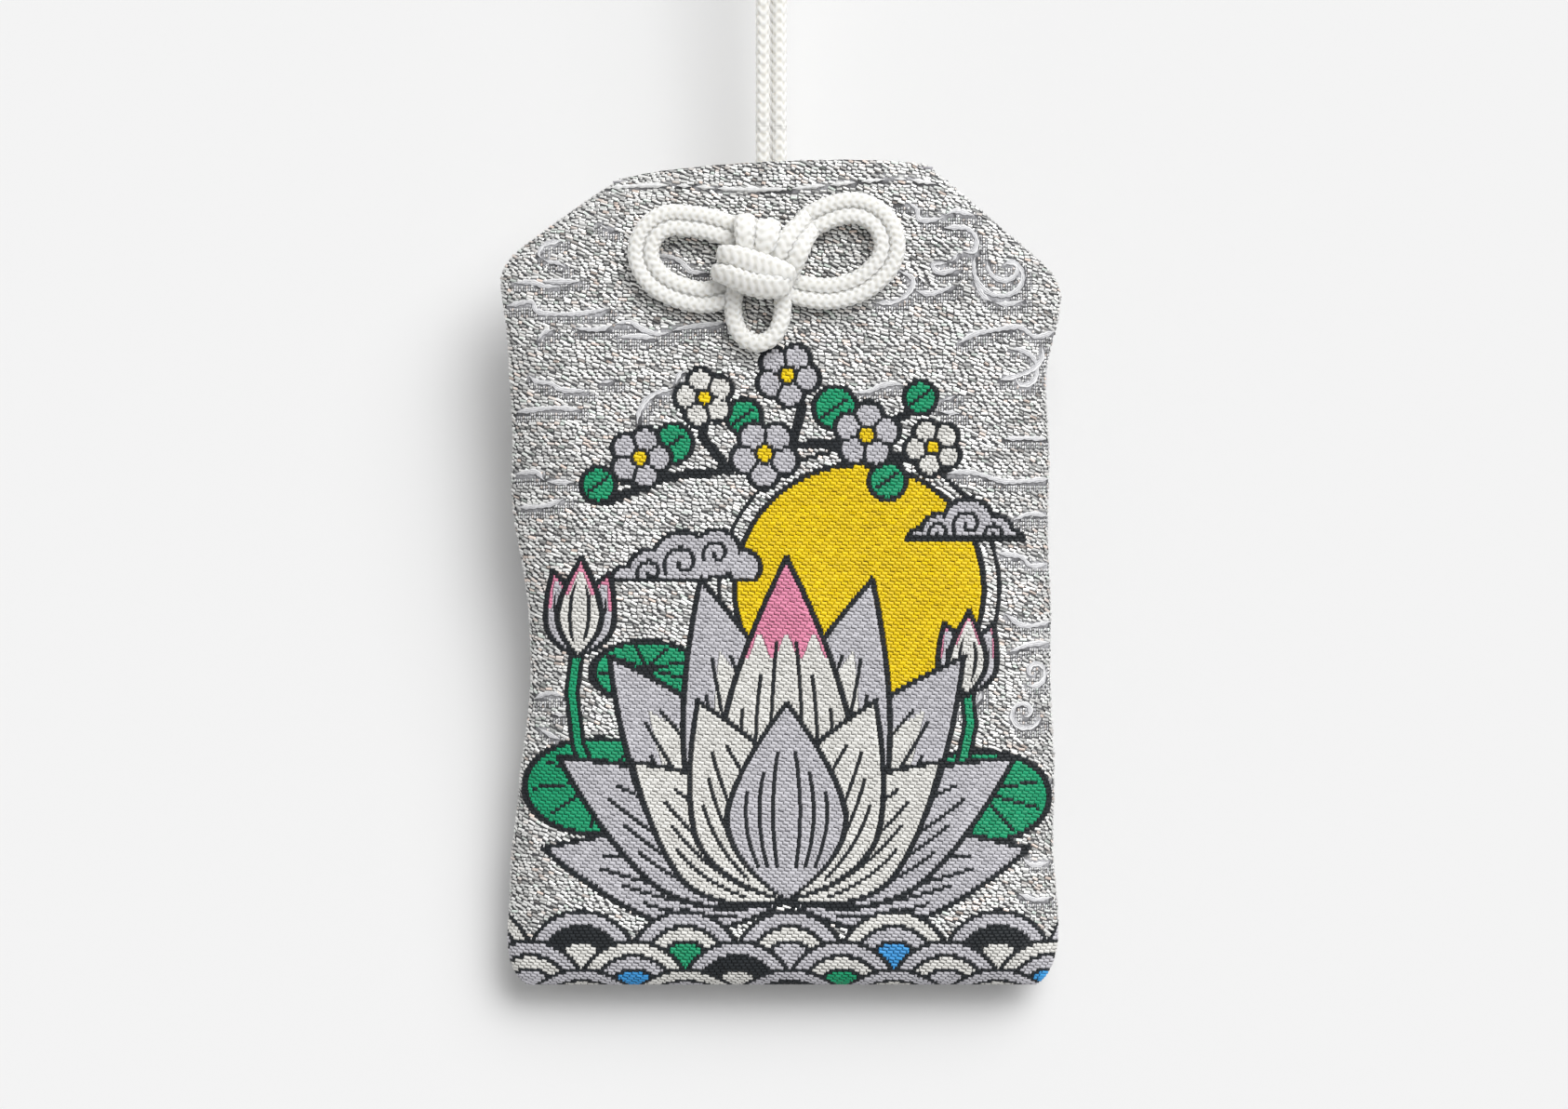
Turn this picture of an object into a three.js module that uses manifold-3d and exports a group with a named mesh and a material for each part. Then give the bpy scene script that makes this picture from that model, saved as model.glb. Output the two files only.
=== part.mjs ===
// Amulet pouch: a flat brocade bag that hangs on a braided cord, tied on the front in a doubled knot with two ears.
// Units are millimetres, +Z is up and the front faces -Y.
// The origin is the inside of the hanging loop's top, where a hook carries it.
import * as THREE from "three";
import { mergeVertices } from "three/addons/utils/BufferGeometryUtils.js";
import Module from "manifold-3d";

// Room left between neighbouring pieces, and between strands that lie side by side
const CLEARANCE = 0.3;
const STRAND_GAP = 0.1;

// Pouch outline: drops are measured down from the top edge, half-widths out from the middle of the pouch
const POUCH_HEIGHT = 79.6;
const POUCH_SHIFT = 1;
const TOP_HALF_WIDTH = 15.6;
const SHOULDER_HALF_WIDTH = 27;
const SHOULDER_DROP = 10.8;
const SHOULDER_ROUND = 2.5;
const LEFT_WAIST_HALF_WIDTH = 24.8;
const RIGHT_WAIST_HALF_WIDTH = 25.9;
const WAIST_DROP = 46;
const LEFT_FOOT_HALF_WIDTH = 26.3;
const RIGHT_FOOT_HALF_WIDTH = 27;
const FOOT_DROP = 74;
const FOOT_ROUND = 3.5;

// Pouch thickness: crowns are measured from the seam plane to the outer face
const FABRIC = 0.8;
const SEAM_GAP = 0.3;
const MOUTH_HALF_GAP = 0.75;
const FRONT_CROWN = 2.8;
const BACK_CROWN = 3.5;
const CROWN_START_DROP = 8;
const CROWN_FULL_DROP = 30;
const SIDE_ROLL = 11.5;
const FOOT_ROLL = 8;
const ROLL_POWER = 2.5;
const PANEL_COLUMNS = 18;
const PANEL_ROWS = 24;

// Neck holes, through both panels
const HOLE_DROP = 8.6;
const HOLE_HALF_HEIGHT = 1.5;

// Seam thread, backing sheets and tucked corners
const THREAD_DIAMETER = 0.5;
const THREAD_TOP_DROP = 14;
const THREAD_CORNER = 4;
const INTERLINING = 0.3;
const INTERLINING_MARGIN = 4;
const INTERLINING_TOP_DROP = 15;
const INTERLINING_FOOT_RISE = 8;
const CORNER_FOLD = 0.6;
const CORNER_FOLD_INSET = 2.2;

// Charm packet: a paper sleeve that holds a thin board and a folded slip
const PACKET_FOOT_RISE = 3.2;
const BOARD_WIDTH = 34;
const BOARD_HEIGHT = 46;
const BOARD_THICKNESS = 0.8;
const SLIP_WIDTH = 24;
const SLIP_HEIGHT = 38;
const SLIP_THICKNESS = 0.4;
const WRAPPER_WALL = 0.3;
const WRAPPER_OVERHANG = 1.5;
const PACKET_GAP = 0.2;
const PACKET_FORWARD = 0.15;

// Cord
const CORD_DIAMETER = 1.45;
const CORD_SIDES = 8;
const LOOP_DROP = 50;
const NECK_LENGTH = 3.5;
const NECK_RISE = 0.55;
const TAIL_TOP_GAP = 0.35;

// Knot: its middle below the top edge and left of the cord, and how far its parts lean out
const KNOT_DROP = 9.3;
const KNOT_SHIFT = -0.8;
const EAR_LOW_DROP = 15;
const BOTTOM_LOOP_LOW_DROP = 18.5;
const LOWER_WRAP_SLOPE = -17 * Math.PI / 180;

// Right half of the hanging loop's route, from the top of its bend down to the neck: x, z
const LOOP_HALF_ROUTE = [
  [0, 0.725], [1.25, 0.42], [2.3, -0.4], [2.9, -1.7], [3, -3.2], [2.75, -5.2], [2.2, -7.8], [1.6, -10.8],
  [1.15, -14], [0.88, -17.5], [0.775, -22], [0.775, -28], [0.775, -34], [0.775, -40], [0.775, -46.2],
];

// Middle line of the left and right ear, and the bottom loop's line, seen from the front: x, z from the knot's middle
const LEFT_EAR_ROUTE = [
  [-3.9, 3.65], [-5.4, 4.05], [-7.4, 4.2], [-9.4, 3.6], [-11.1, 2.1], [-11.9, 0], [-11.5, -1.95],
  [-10.1, -3.5], [-7.9, -4.15], [-5.8, -4], [-3.9, -3.6],
];
const RIGHT_EAR_ROUTE = [
  [4.7, 3.6], [6.1, 4.5], [7.9, 5], [9.9, 4.75], [11.6, 3.5], [12.5, 1.2], [12.1, -0.9],
  [10.7, -2.45], [8.6, -3.45], [6.4, -3.75], [4.7, -3.5],
];
const BOTTOM_LOOP_ROUTE = [
  [-2.75, -4.05], [-2.8, -5.2], [-2.5, -6.7], [-1.7, -7.85], [-0.4, -8.3], [0.9, -7.75], [1.65, -6.5],
  [1.9, -5.2], [1.9, -4.05],
];

// Wrap routes: how far out from the ears' plane (forward is negative) and how far along
const TOP_WRAP_ROUTE = [
  [0.2, 2.7], [0.2, 3.15], [-0.09, 3.8], [-0.78, 4.08], [-1.46, 3.8], [-1.75, 3.1], [-1.75, 2.3], [-1.35, 1.4], [-0.8, 0.7],
];
const TOP_WRAP_SHIFT = -1.35;
const RIGHT_WRAP_ROUTE = [[-0.6, 3.3], [-1.25, 2.4], [-1.5, 1.4], [-1.25, 0.4]];
const RIGHT_WRAP_SHIFT = 1.95;
const LOWER_WRAP_ROUTE = [
  [0.1, -2.9], [-0.25, -3.85], [-1.2, -4.35], [-2.1, -3.95], [-2.5, -3], [-2.55, -0.5], [-2.5, 1.8],
  [-2.15, 2.9], [-1.3, 3.5], [-0.4, 3.55],
];
const LOWER_WRAP_RISE = -0.28;

const CORD_RADIUS = CORD_DIAMETER / 2;
const STRAND_PITCH = CORD_DIAMETER + STRAND_GAP;
const TOP_Z = -LOOP_DROP;
const MOUTH_CROWN = MOUTH_HALF_GAP + FABRIC;
const POUCH_Y = -(MOUTH_CROWN + CLEARANCE + CORD_RADIUS);
const KNOT_Z = TOP_Z - KNOT_DROP;
const HOLE_Z = TOP_Z - HOLE_DROP;

const wasm = await Module();
wasm.setup();

const smoothstep = THREE.MathUtils.smoothstep;
const lerp = THREE.MathUtils.lerp;
const clamp = THREE.MathUtils.clamp;

// Closed solids with shared vertices and faces that point out
function signedVolume(geometry) {
  const position = geometry.attributes.position;
  const index = geometry.index.array;
  const corners = [new THREE.Vector3(), new THREE.Vector3(), new THREE.Vector3()];
  let volume = 0;
  for (let i = 0; i < index.length; i += 3) {
    corners.forEach((corner, k) => corner.fromBufferAttribute(position, index[i + k]));
    volume += corners[0].dot(corners[1].clone().cross(corners[2])) / 6;
  }
  return volume;
}

function closed(geometry) {
  geometry.deleteAttribute("normal");
  geometry.deleteAttribute("uv");
  const merged = mergeVertices(geometry, 1e-4);
  if (signedVolume(merged) < 0) {
    const index = merged.index.array;
    for (let i = 0; i < index.length; i += 3) {
      [index[i], index[i + 1]] = [index[i + 1], index[i]];
    }
  }
  merged.computeVertexNormals();
  return merged;
}

function toManifold(geometry) {
  const vertProperties = new Float32Array(geometry.attributes.position.array);
  const triVerts = new Uint32Array(geometry.index.array);
  return new wasm.Manifold(new wasm.Mesh({ numProp: 3, vertProperties, triVerts }));
}

function cut(body, tool) {
  const mesh = toManifold(body).subtract(toManifold(tool)).getMesh();
  const geometry = new THREE.BufferGeometry();
  geometry.setAttribute("position", new THREE.BufferAttribute(new Float32Array(mesh.vertProperties), 3));
  geometry.setIndex(Array.from(mesh.triVerts));
  return closed(geometry);
}

// Round tube along a smooth curve through the given points
function tube(points, diameter, sides, steps) {
  const section = new THREE.Shape();
  for (let i = 0; i < sides; i += 1) {
    const angle = (i + 0.5) * 2 * Math.PI / sides;
    const x = Math.cos(angle) * diameter / 2;
    const y = Math.sin(angle) * diameter / 2;
    if (i === 0) section.moveTo(x, y);
    else section.lineTo(x, y);
  }
  section.closePath();
  const extrudePath = new THREE.CatmullRomCurve3(points, false, "centripetal");
  return closed(new THREE.ExtrudeGeometry(section, { steps, extrudePath, bevelEnabled: false }));
}

// Half-width of the pouch on one side (-1 left, +1 right) at a drop below the top edge
function halfWidth(side, drop) {
  const waist = side < 0 ? LEFT_WAIST_HALF_WIDTH : RIGHT_WAIST_HALF_WIDTH;
  const foot = side < 0 ? LEFT_FOOT_HALF_WIDTH : RIGHT_FOOT_HALF_WIDTH;
  const upper = lerp(SHOULDER_HALF_WIDTH, waist, smoothstep(drop, SHOULDER_DROP, WAIST_DROP));
  const lower = lerp(waist, foot, smoothstep(drop, WAIST_DROP, FOOT_DROP));
  const flank = drop < WAIST_DROP ? upper : lower;
  const shoulder = lerp(TOP_HALF_WIDTH, SHOULDER_HALF_WIDTH, drop / SHOULDER_DROP);
  const blend = clamp(0.5 + (flank - shoulder) / (2 * SHOULDER_ROUND), 0, 1);
  const rounded = lerp(flank, shoulder, blend) - SHOULDER_ROUND * blend * (1 - blend);
  const corner = clamp((drop - (POUCH_HEIGHT - FOOT_ROUND)) / FOOT_ROUND, 0, 1);
  return rounded - FOOT_ROUND * 0.4 * (1 - Math.sqrt(1 - corner * corner));
}

// How full the pouch is at a distance in from an edge: 0 at the edge, 1 past the rolled border
function roll(distance, border) {
  const share = clamp(1 - distance / border, 0, 1);
  return Math.sqrt(1 - share ** ROLL_POWER);
}

function crownAt(crown, drop) {
  return lerp(MOUTH_CROWN, crown, smoothstep(drop, CROWN_START_DROP, CROWN_FULL_DROP));
}

// Point on a skin of the pouch: face -1 front or +1 back, inset into the cloth, across from -1 to 1, margin kept off the sides
function skinPoint(face, inset, across, drop, margin) {
  const side = across < 0 ? -1 : 1;
  const reach = halfWidth(side, drop) - inset;
  const out = Math.abs(across) * (reach - margin);
  const crown = crownAt(face < 0 ? FRONT_CROWN : BACK_CROWN, drop) - inset - SEAM_GAP / 2;
  const fullness = roll(reach - out, SIDE_ROLL) * roll(POUCH_HEIGHT - inset - drop, FOOT_ROLL);
  return new THREE.Vector3(
    POUCH_SHIFT + side * out,
    POUCH_Y + face * (SEAM_GAP / 2 + crown * fullness),
    TOP_Z - drop,
  );
}

// Sheet between two skins, made from a box whose grid is laid over the pouch
function sheet({ face, inset, thickness, from, outerTo, innerTo, margin, columns, rows }) {
  const geometry = new THREE.BoxGeometry(2, 1, 1, columns, 1, rows);
  const position = geometry.attributes.position;
  for (let i = 0; i < position.count; i += 1) {
    const outer = position.getY(i) < 0;
    const across = Math.sin(position.getX(i) * Math.PI / 2);
    const down = 1 - (0.5 + position.getZ(i)) ** 1.3;
    const drop = lerp(from, outer ? outerTo : innerTo, down);
    const point = skinPoint(face, outer ? inset : inset + thickness, across, drop, margin);
    position.setXYZ(i, point.x, point.y, point.z);
  }
  return closed(geometry);
}

// Brocade panels, each with its neck hole
function holeCutter() {
  const half = STRAND_PITCH / 2 + CORD_RADIUS + CLEARANCE;
  const straight = half - HOLE_HALF_HEIGHT;
  const outline = new THREE.Shape();
  outline.absarc(straight, 0, HOLE_HALF_HEIGHT, -Math.PI / 2, Math.PI / 2);
  outline.absarc(-straight, 0, HOLE_HALF_HEIGHT, Math.PI / 2, 3 * Math.PI / 2);
  outline.closePath();
  const depth = 4 * (FRONT_CROWN + BACK_CROWN);
  const geometry = new THREE.ExtrudeGeometry(outline, { depth, bevelEnabled: false, curveSegments: 6 });
  geometry.translate(0, 0, -depth / 2);
  geometry.rotateX(Math.PI / 2);
  geometry.translate(0, POUCH_Y, HOLE_Z);
  return closed(geometry);
}

function panel(face) {
  const body = sheet({
    face,
    inset: 0,
    thickness: FABRIC,
    from: 0,
    outerTo: POUCH_HEIGHT,
    innerTo: POUCH_HEIGHT - FABRIC,
    margin: 0,
    columns: PANEL_COLUMNS,
    rows: PANEL_ROWS,
  });
  return cut(body, holeCutter());
}

function interlining(face) {
  const foot = POUCH_HEIGHT - INTERLINING_FOOT_RISE;
  return sheet({
    face,
    inset: FABRIC + CLEARANCE,
    thickness: INTERLINING,
    from: INTERLINING_TOP_DROP,
    outerTo: foot,
    innerTo: foot,
    margin: INTERLINING_MARGIN,
    columns: 12,
    rows: 12,
  });
}

// Upper corner of the bag, folded in along the shoulder line and lying flat between the panels
function cornerFold(side) {
  const slope = new THREE.Vector2(SHOULDER_HALF_WIDTH - TOP_HALF_WIDTH, -SHOULDER_DROP).normalize();
  const inward = new THREE.Vector2(slope.y, -slope.x).multiplyScalar(CORNER_FOLD_INSET);
  const top = new THREE.Vector2(TOP_HALF_WIDTH, 0).addScaledVector(slope, CORNER_FOLD_INSET);
  const shoulder = new THREE.Vector2(SHOULDER_HALF_WIDTH, -SHOULDER_DROP).addScaledVector(slope, -CORNER_FOLD_INSET);
  const along = slope.clone().multiplyScalar(slope.x * (SHOULDER_HALF_WIDTH - TOP_HALF_WIDTH));
  const foot = new THREE.Vector2(TOP_HALF_WIDTH, 0).add(along);
  const tip = foot.clone().multiplyScalar(2).sub(new THREE.Vector2(SHOULDER_HALF_WIDTH, 0));
  const outline = new THREE.Shape([top.add(inward), shoulder.add(inward), tip]);
  const geometry = new THREE.ExtrudeGeometry(outline, { depth: CORNER_FOLD, bevelEnabled: false });
  geometry.translate(0, 0, -CORNER_FOLD / 2);
  geometry.rotateX(Math.PI / 2);
  geometry.scale(side, 1, 1);
  geometry.translate(POUCH_SHIFT, POUCH_Y, TOP_Z);
  return closed(geometry);
}

// Stitching inside the edge: down the left side, along the bottom and up the right side
function seamThread() {
  const inset = FABRIC + CLEARANCE + THREAD_DIAMETER / 2;
  const bottom = POUCH_HEIGHT - inset;
  const sideDrops = [0, 0.15, 0.3, 0.45, 0.6, 0.75, 0.9, 1];
  const edge = (side, drop, extra) => new THREE.Vector3(
    POUCH_SHIFT + side * (halfWidth(side, drop) - inset - extra), POUCH_Y, TOP_Z - drop,
  );
  const flank = (side) => sideDrops.map((share) => edge(side, lerp(THREAD_TOP_DROP, bottom - THREAD_CORNER, share), 0));
  const corner = (side) => [
    edge(side, bottom - THREAD_CORNER * 0.35, THREAD_CORNER * 0.25),
    edge(side, bottom, THREAD_CORNER),
    edge(side, bottom, THREAD_CORNER * 2),
    edge(side, bottom, THREAD_CORNER * 4),
  ];
  const points = [...flank(-1), ...corner(-1), ...corner(1).reverse(), ...flank(1).reverse()];
  return tube(points, THREAD_DIAMETER, 6, 56);
}

// Charm packet, stacked from the front: sleeve wall, slip, board, sleeve wall
const POCKET_DEPTH = SLIP_THICKNESS + BOARD_THICKNESS + 3 * PACKET_GAP;
const WRAPPER_DEPTH = POCKET_DEPTH + 2 * WRAPPER_WALL;
const WRAPPER_FRONT = POUCH_Y + (BACK_CROWN - FRONT_CROWN) / 2 - WRAPPER_DEPTH / 2 - PACKET_FORWARD;
const SLIP_FRONT = WRAPPER_FRONT + WRAPPER_WALL + PACKET_GAP;
const BOARD_FRONT = SLIP_FRONT + SLIP_THICKNESS + PACKET_GAP;
const WRAPPER_HEIGHT = BOARD_HEIGHT + 2 * WRAPPER_OVERHANG;
const PACKET_MIDDLE_Z = TOP_Z - POUCH_HEIGHT + PACKET_FOOT_RISE + WRAPPER_HEIGHT / 2;

function block(width, depth, height, front) {
  const geometry = new THREE.BoxGeometry(width, depth, height);
  geometry.translate(POUCH_SHIFT, front + depth / 2, PACKET_MIDDLE_Z);
  return closed(geometry);
}

function wrapper() {
  const pocketWidth = BOARD_WIDTH + 2 * PACKET_GAP;
  const sleeve = block(pocketWidth + 2 * WRAPPER_WALL, WRAPPER_DEPTH, WRAPPER_HEIGHT, WRAPPER_FRONT);
  const pocket = block(pocketWidth, POCKET_DEPTH, WRAPPER_HEIGHT * 2, WRAPPER_FRONT + WRAPPER_WALL);
  return cut(sleeve, pocket);
}

// Plane in front of the panel where a cord that reaches down to the given drop lies clear of it
function cordPlane(lowDrop) {
  return POUCH_Y - crownAt(FRONT_CROWN, lowDrop) - CLEARANCE - CORD_RADIUS;
}

const EAR_PLANE = cordPlane(EAR_LOW_DROP);
const BOTTOM_LOOP_PLANE = cordPlane(BOTTOM_LOOP_LOW_DROP);

function knotPoint(x, y, z) {
  return new THREE.Vector3(KNOT_SHIFT + x, y, KNOT_Z + z);
}

// One strand of an ear: the ear's middle line moved out or in by half a strand pitch
function earStrand(route, offset) {
  const middle = new THREE.CatmullRomCurve3(route.map(([x, z]) => knotPoint(x, EAR_PLANE, z)), false, "centripetal");
  const count = 20;
  const points = [];
  for (let i = 0; i <= count; i += 1) {
    const tangent = middle.getTangentAt(i / count);
    const sideways = new THREE.Vector3(-tangent.z, 0, tangent.x);
    points.push(middle.getPointAt(i / count).addScaledVector(sideways, offset));
  }
  return tube(points, CORD_DIAMETER, CORD_SIDES, 18);
}

function bottomLoop() {
  const points = BOTTOM_LOOP_ROUTE.map(([x, z]) => knotPoint(x, BOTTOM_LOOP_PLANE, z));
  return tube(points, CORD_DIAMETER, CORD_SIDES, 14);
}

// Wraps in the middle of the knot
function topWrap(order) {
  const x = TOP_WRAP_SHIFT + order * STRAND_PITCH;
  return tube(TOP_WRAP_ROUTE.map(([out, z]) => knotPoint(x, EAR_PLANE + out, z)), CORD_DIAMETER, CORD_SIDES, 12);
}

function rightWrap(order) {
  const x = RIGHT_WRAP_SHIFT + order * STRAND_PITCH;
  return tube(RIGHT_WRAP_ROUTE.map(([out, z]) => knotPoint(x, EAR_PLANE + out, z)), CORD_DIAMETER, CORD_SIDES, 6);
}

function lowerWrap(order) {
  const cos = Math.cos(LOWER_WRAP_SLOPE);
  const sin = Math.sin(LOWER_WRAP_SLOPE);
  const shift = -order * STRAND_PITCH;
  const points = LOWER_WRAP_ROUTE.map(([out, along]) => knotPoint(
    along * cos - shift * sin, EAR_PLANE + out, LOWER_WRAP_RISE + along * sin + shift * cos,
  ));
  return tube(points, CORD_DIAMETER, CORD_SIDES, 16);
}

// Cord from the knot through the neck holes, up the back, and over the top edge to the hook
function tailStrand(side) {
  const x = side * STRAND_PITCH / 2;
  const end = EAR_PLANE + CLEARANCE;
  const route = [
    [0, TOP_Z - TAIL_TOP_GAP], [0, HOLE_Z + 5.4], [0, HOLE_Z + 3], [-0.08, HOLE_Z + 1.75], [-0.5, HOLE_Z + 0.7],
    [-1.4, HOLE_Z + 0.1], [-2.5, HOLE_Z], [end, HOLE_Z],
  ];
  return tube(route.map(([y, z]) => new THREE.Vector3(x, y, z)), CORD_DIAMETER, CORD_SIDES, 10);
}

function neckStrand(side) {
  const x = side * STRAND_PITCH / 2;
  const points = [new THREE.Vector3(x, 0, TOP_Z + NECK_RISE), new THREE.Vector3(x, 0, TOP_Z + NECK_LENGTH)];
  return tube(points, CORD_DIAMETER, CORD_SIDES, 1);
}

function hangingLoop() {
  const right = LOOP_HALF_ROUTE.map(([x, z]) => new THREE.Vector3(x, 0, z));
  const left = LOOP_HALF_ROUTE.slice(1).map(([x, z]) => new THREE.Vector3(-x, 0, z));
  return tube([...left.reverse(), ...right], CORD_DIAMETER, CORD_SIDES, 44);
}

const amulet = new THREE.Group();

function add(name, geometry, color, roughness, metalness) {
  const mesh = new THREE.Mesh(geometry, new THREE.MeshStandardMaterial({ color, roughness, metalness }));
  mesh.name = name;
  amulet.add(mesh);
}

function addCord(name, geometry) {
  add(name, geometry, 0xf2f1eb, 0.9, 0);
}

function addBrocade(name, geometry) {
  add(name, geometry, 0xb4b6b9, 0.45, 0.4);
}

addBrocade("front_panel", panel(-1));
addBrocade("back_panel", panel(1));
addBrocade("left_corner_fold", cornerFold(-1));
addBrocade("right_corner_fold", cornerFold(1));
add("front_interlining", interlining(-1), 0xefede6, 0.95, 0);
add("back_interlining", interlining(1), 0xefede6, 0.95, 0);
add("seam_thread", seamThread(), 0xdcd9e0, 0.8, 0);

add("charm_wrapper", wrapper(), 0xf4f1e6, 0.9, 0);
add("talisman_slip", block(SLIP_WIDTH, SLIP_THICKNESS, SLIP_HEIGHT, SLIP_FRONT), 0xf7f4ea, 0.9, 0);
add("charm_board", block(BOARD_WIDTH, BOARD_THICKNESS, BOARD_HEIGHT, BOARD_FRONT), 0xc9a877, 0.8, 0);

addCord("left_ear_outer_strand", earStrand(LEFT_EAR_ROUTE, -STRAND_PITCH / 2));
addCord("left_ear_inner_strand", earStrand(LEFT_EAR_ROUTE, STRAND_PITCH / 2));
addCord("right_ear_outer_strand", earStrand(RIGHT_EAR_ROUTE, STRAND_PITCH / 2));
addCord("right_ear_inner_strand", earStrand(RIGHT_EAR_ROUTE, -STRAND_PITCH / 2));
addCord("bottom_loop", bottomLoop());
addCord("knot_top_wrap_left", topWrap(0));
addCord("knot_top_wrap_right", topWrap(1));
addCord("knot_right_wrap_inner", rightWrap(0));
addCord("knot_right_wrap_outer", rightWrap(1));
addCord("knot_lower_wrap_upper", lowerWrap(0));
addCord("knot_lower_wrap_lower", lowerWrap(1));
addCord("tail_strand_left", tailStrand(-1));
addCord("tail_strand_right", tailStrand(1));
addCord("neck_strand_left", neckStrand(-1));
addCord("neck_strand_right", neckStrand(1));
addCord("hanging_loop", hangingLoop());

export default amulet;
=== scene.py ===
import math

import bpy
import bmesh
import numpy as np
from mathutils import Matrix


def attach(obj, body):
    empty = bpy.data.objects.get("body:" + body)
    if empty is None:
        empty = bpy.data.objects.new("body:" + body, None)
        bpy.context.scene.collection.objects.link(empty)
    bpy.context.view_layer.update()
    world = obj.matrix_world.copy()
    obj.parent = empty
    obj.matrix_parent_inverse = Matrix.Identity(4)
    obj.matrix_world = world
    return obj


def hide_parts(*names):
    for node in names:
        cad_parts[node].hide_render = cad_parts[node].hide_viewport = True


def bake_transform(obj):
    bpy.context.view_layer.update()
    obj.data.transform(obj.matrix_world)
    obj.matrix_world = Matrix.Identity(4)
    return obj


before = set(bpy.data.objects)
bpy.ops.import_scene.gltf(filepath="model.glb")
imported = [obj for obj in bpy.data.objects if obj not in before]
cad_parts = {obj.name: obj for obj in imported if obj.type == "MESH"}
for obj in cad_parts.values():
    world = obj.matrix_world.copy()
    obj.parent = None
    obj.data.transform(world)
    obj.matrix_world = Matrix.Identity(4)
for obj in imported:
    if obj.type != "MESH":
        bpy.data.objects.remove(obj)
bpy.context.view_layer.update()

# Charm packet: a folded paper sleeve that holds a thin board and a blank slip, inside the pouch.
# The paper is uncoated and fibrous, the board is plain brown pulp. The packet stands loose in the pouch
# and slides a little way up.


def new_node(tree, kind, inputs=(), **settings):
    made = tree.nodes.new(kind)
    for name, value in settings.items():
        setattr(made, name, value)
    for name, value in dict(inputs).items():
        made.inputs[name].default_value = value
    return made


def new_finish(name, roughness, metallic=0.0, sheen=0.0, specular=0.5):
    finish = bpy.data.materials.new(name)
    finish.use_nodes = True
    shader = finish.node_tree.nodes["Principled BSDF"]
    shader.inputs["Roughness"].default_value = roughness
    shader.inputs["Metallic"].default_value = metallic
    shader.inputs["Sheen Weight"].default_value = sheen
    shader.inputs["Specular IOR Level"].default_value = specular
    return finish, shader


def wire(tree, *links):
    """Joins nodes; each link names a node and its output, then a node and its input."""
    for source, output, target, entry in links:
        tree.links.new(source.outputs[output], target.inputs[entry])


def new_group(name, inputs, outputs):
    """An empty node group with the named kinds of sockets, and its input and output nodes."""
    group = bpy.data.node_groups.new(name, "ShaderNodeTree")
    for way, sockets in (("INPUT", inputs), ("OUTPUT", outputs)):
        for socket, kind in sockets.items():
            group.interface.new_socket(socket, in_out=way, socket_type="NodeSocket" + kind)
    return group, new_node(group, "NodeGroupInput"), new_node(group, "NodeGroupOutput")


def emboss(tree, shader, source, output, strength, distance):
    """Raises a finish a little way by what a node gives."""
    relief = new_node(tree, "ShaderNodeBump", {"Strength": strength, "Distance": distance})
    wire(tree, (source, output, relief, "Height"), (relief, "Normal", shader, "Normal"))


def make_fibre_group():
    inputs = {"Pale": "Color", "Deep": "Color", "Scale": "Float", "Stretch": "Vector"}
    group, given, result = new_group("fibre_grain", inputs, {"Color": "Color", "Height": "Float"})
    place = new_node(group, "ShaderNodeTexCoord")
    stretched = new_node(group, "ShaderNodeVectorMath", operation="MULTIPLY")
    grain = new_node(group, "ShaderNodeTexNoise", {"Detail": 5.0, "Roughness": 0.65})
    spread = new_node(group, "ShaderNodeMapRange", {"From Min": 0.3, "From Max": 0.7})
    blend = new_node(group, "ShaderNodeMix", data_type="RGBA")
    wire(
        group,
        (place, "Object", stretched, 0), (given, "Stretch", stretched, 1),
        (stretched, 0, grain, "Vector"), (given, "Scale", grain, "Scale"),
        (grain, "Fac", spread, "Value"), (spread, "Result", blend, "Factor"),
        (given, "Deep", blend, "A"), (given, "Pale", blend, "B"),
        (blend, "Result", result, "Color"), (spread, "Result", result, "Height"),
    )
    return group


fibre_group = make_fibre_group()
FIBRE_RELIEF = 0.0001


def fibrous(name, pale, deep, scale, stretch, roughness, bump, sheen=0.0):
    """A dull finish of fibres: two colours, how fine and how stretched they are, and their relief."""
    finish, shader = new_finish(name, roughness, sheen=sheen, specular=0.3)
    tree = finish.node_tree
    look = {"Pale": (*pale, 1), "Deep": (*deep, 1), "Scale": scale, "Stretch": stretch}
    grain = new_node(tree, "ShaderNodeGroup", look, node_tree=fibre_group)
    wire(tree, (grain, "Color", shader, "Base Color"))
    emboss(tree, shader, grain, "Height", bump, FIBRE_RELIEF)
    return finish


def dress(node, finish):
    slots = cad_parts[node].data.materials
    slots.clear()
    slots.append(finish)


sleeve_paper = fibrous("sleeve_paper", (0.88, 0.85, 0.76), (0.74, 0.69, 0.57), 900, (1, 1, 0.25), 0.85, 0.4)
slip_paper = fibrous("slip_paper", (0.91, 0.89, 0.82), (0.80, 0.77, 0.67), 1400, (1, 1, 0.4), 0.8, 0.3)
pulp_board = fibrous("pulp_board", (0.56, 0.41, 0.23), (0.36, 0.25, 0.13), 1100, (1, 1, 1), 0.9, 0.5)
dress("charm_wrapper", sleeve_paper)
dress("talisman_slip", slip_paper)
dress("charm_board", pulp_board)

# Backing sheets, seam thread and tucked corners: what lies between the brocade and the packet.
# The backing is unwoven white fibre ironed to the cloth, the thread is pale twisted polyester, and the
# corners are the bag's own cloth, turned in so that its dull reverse shows.

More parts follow.
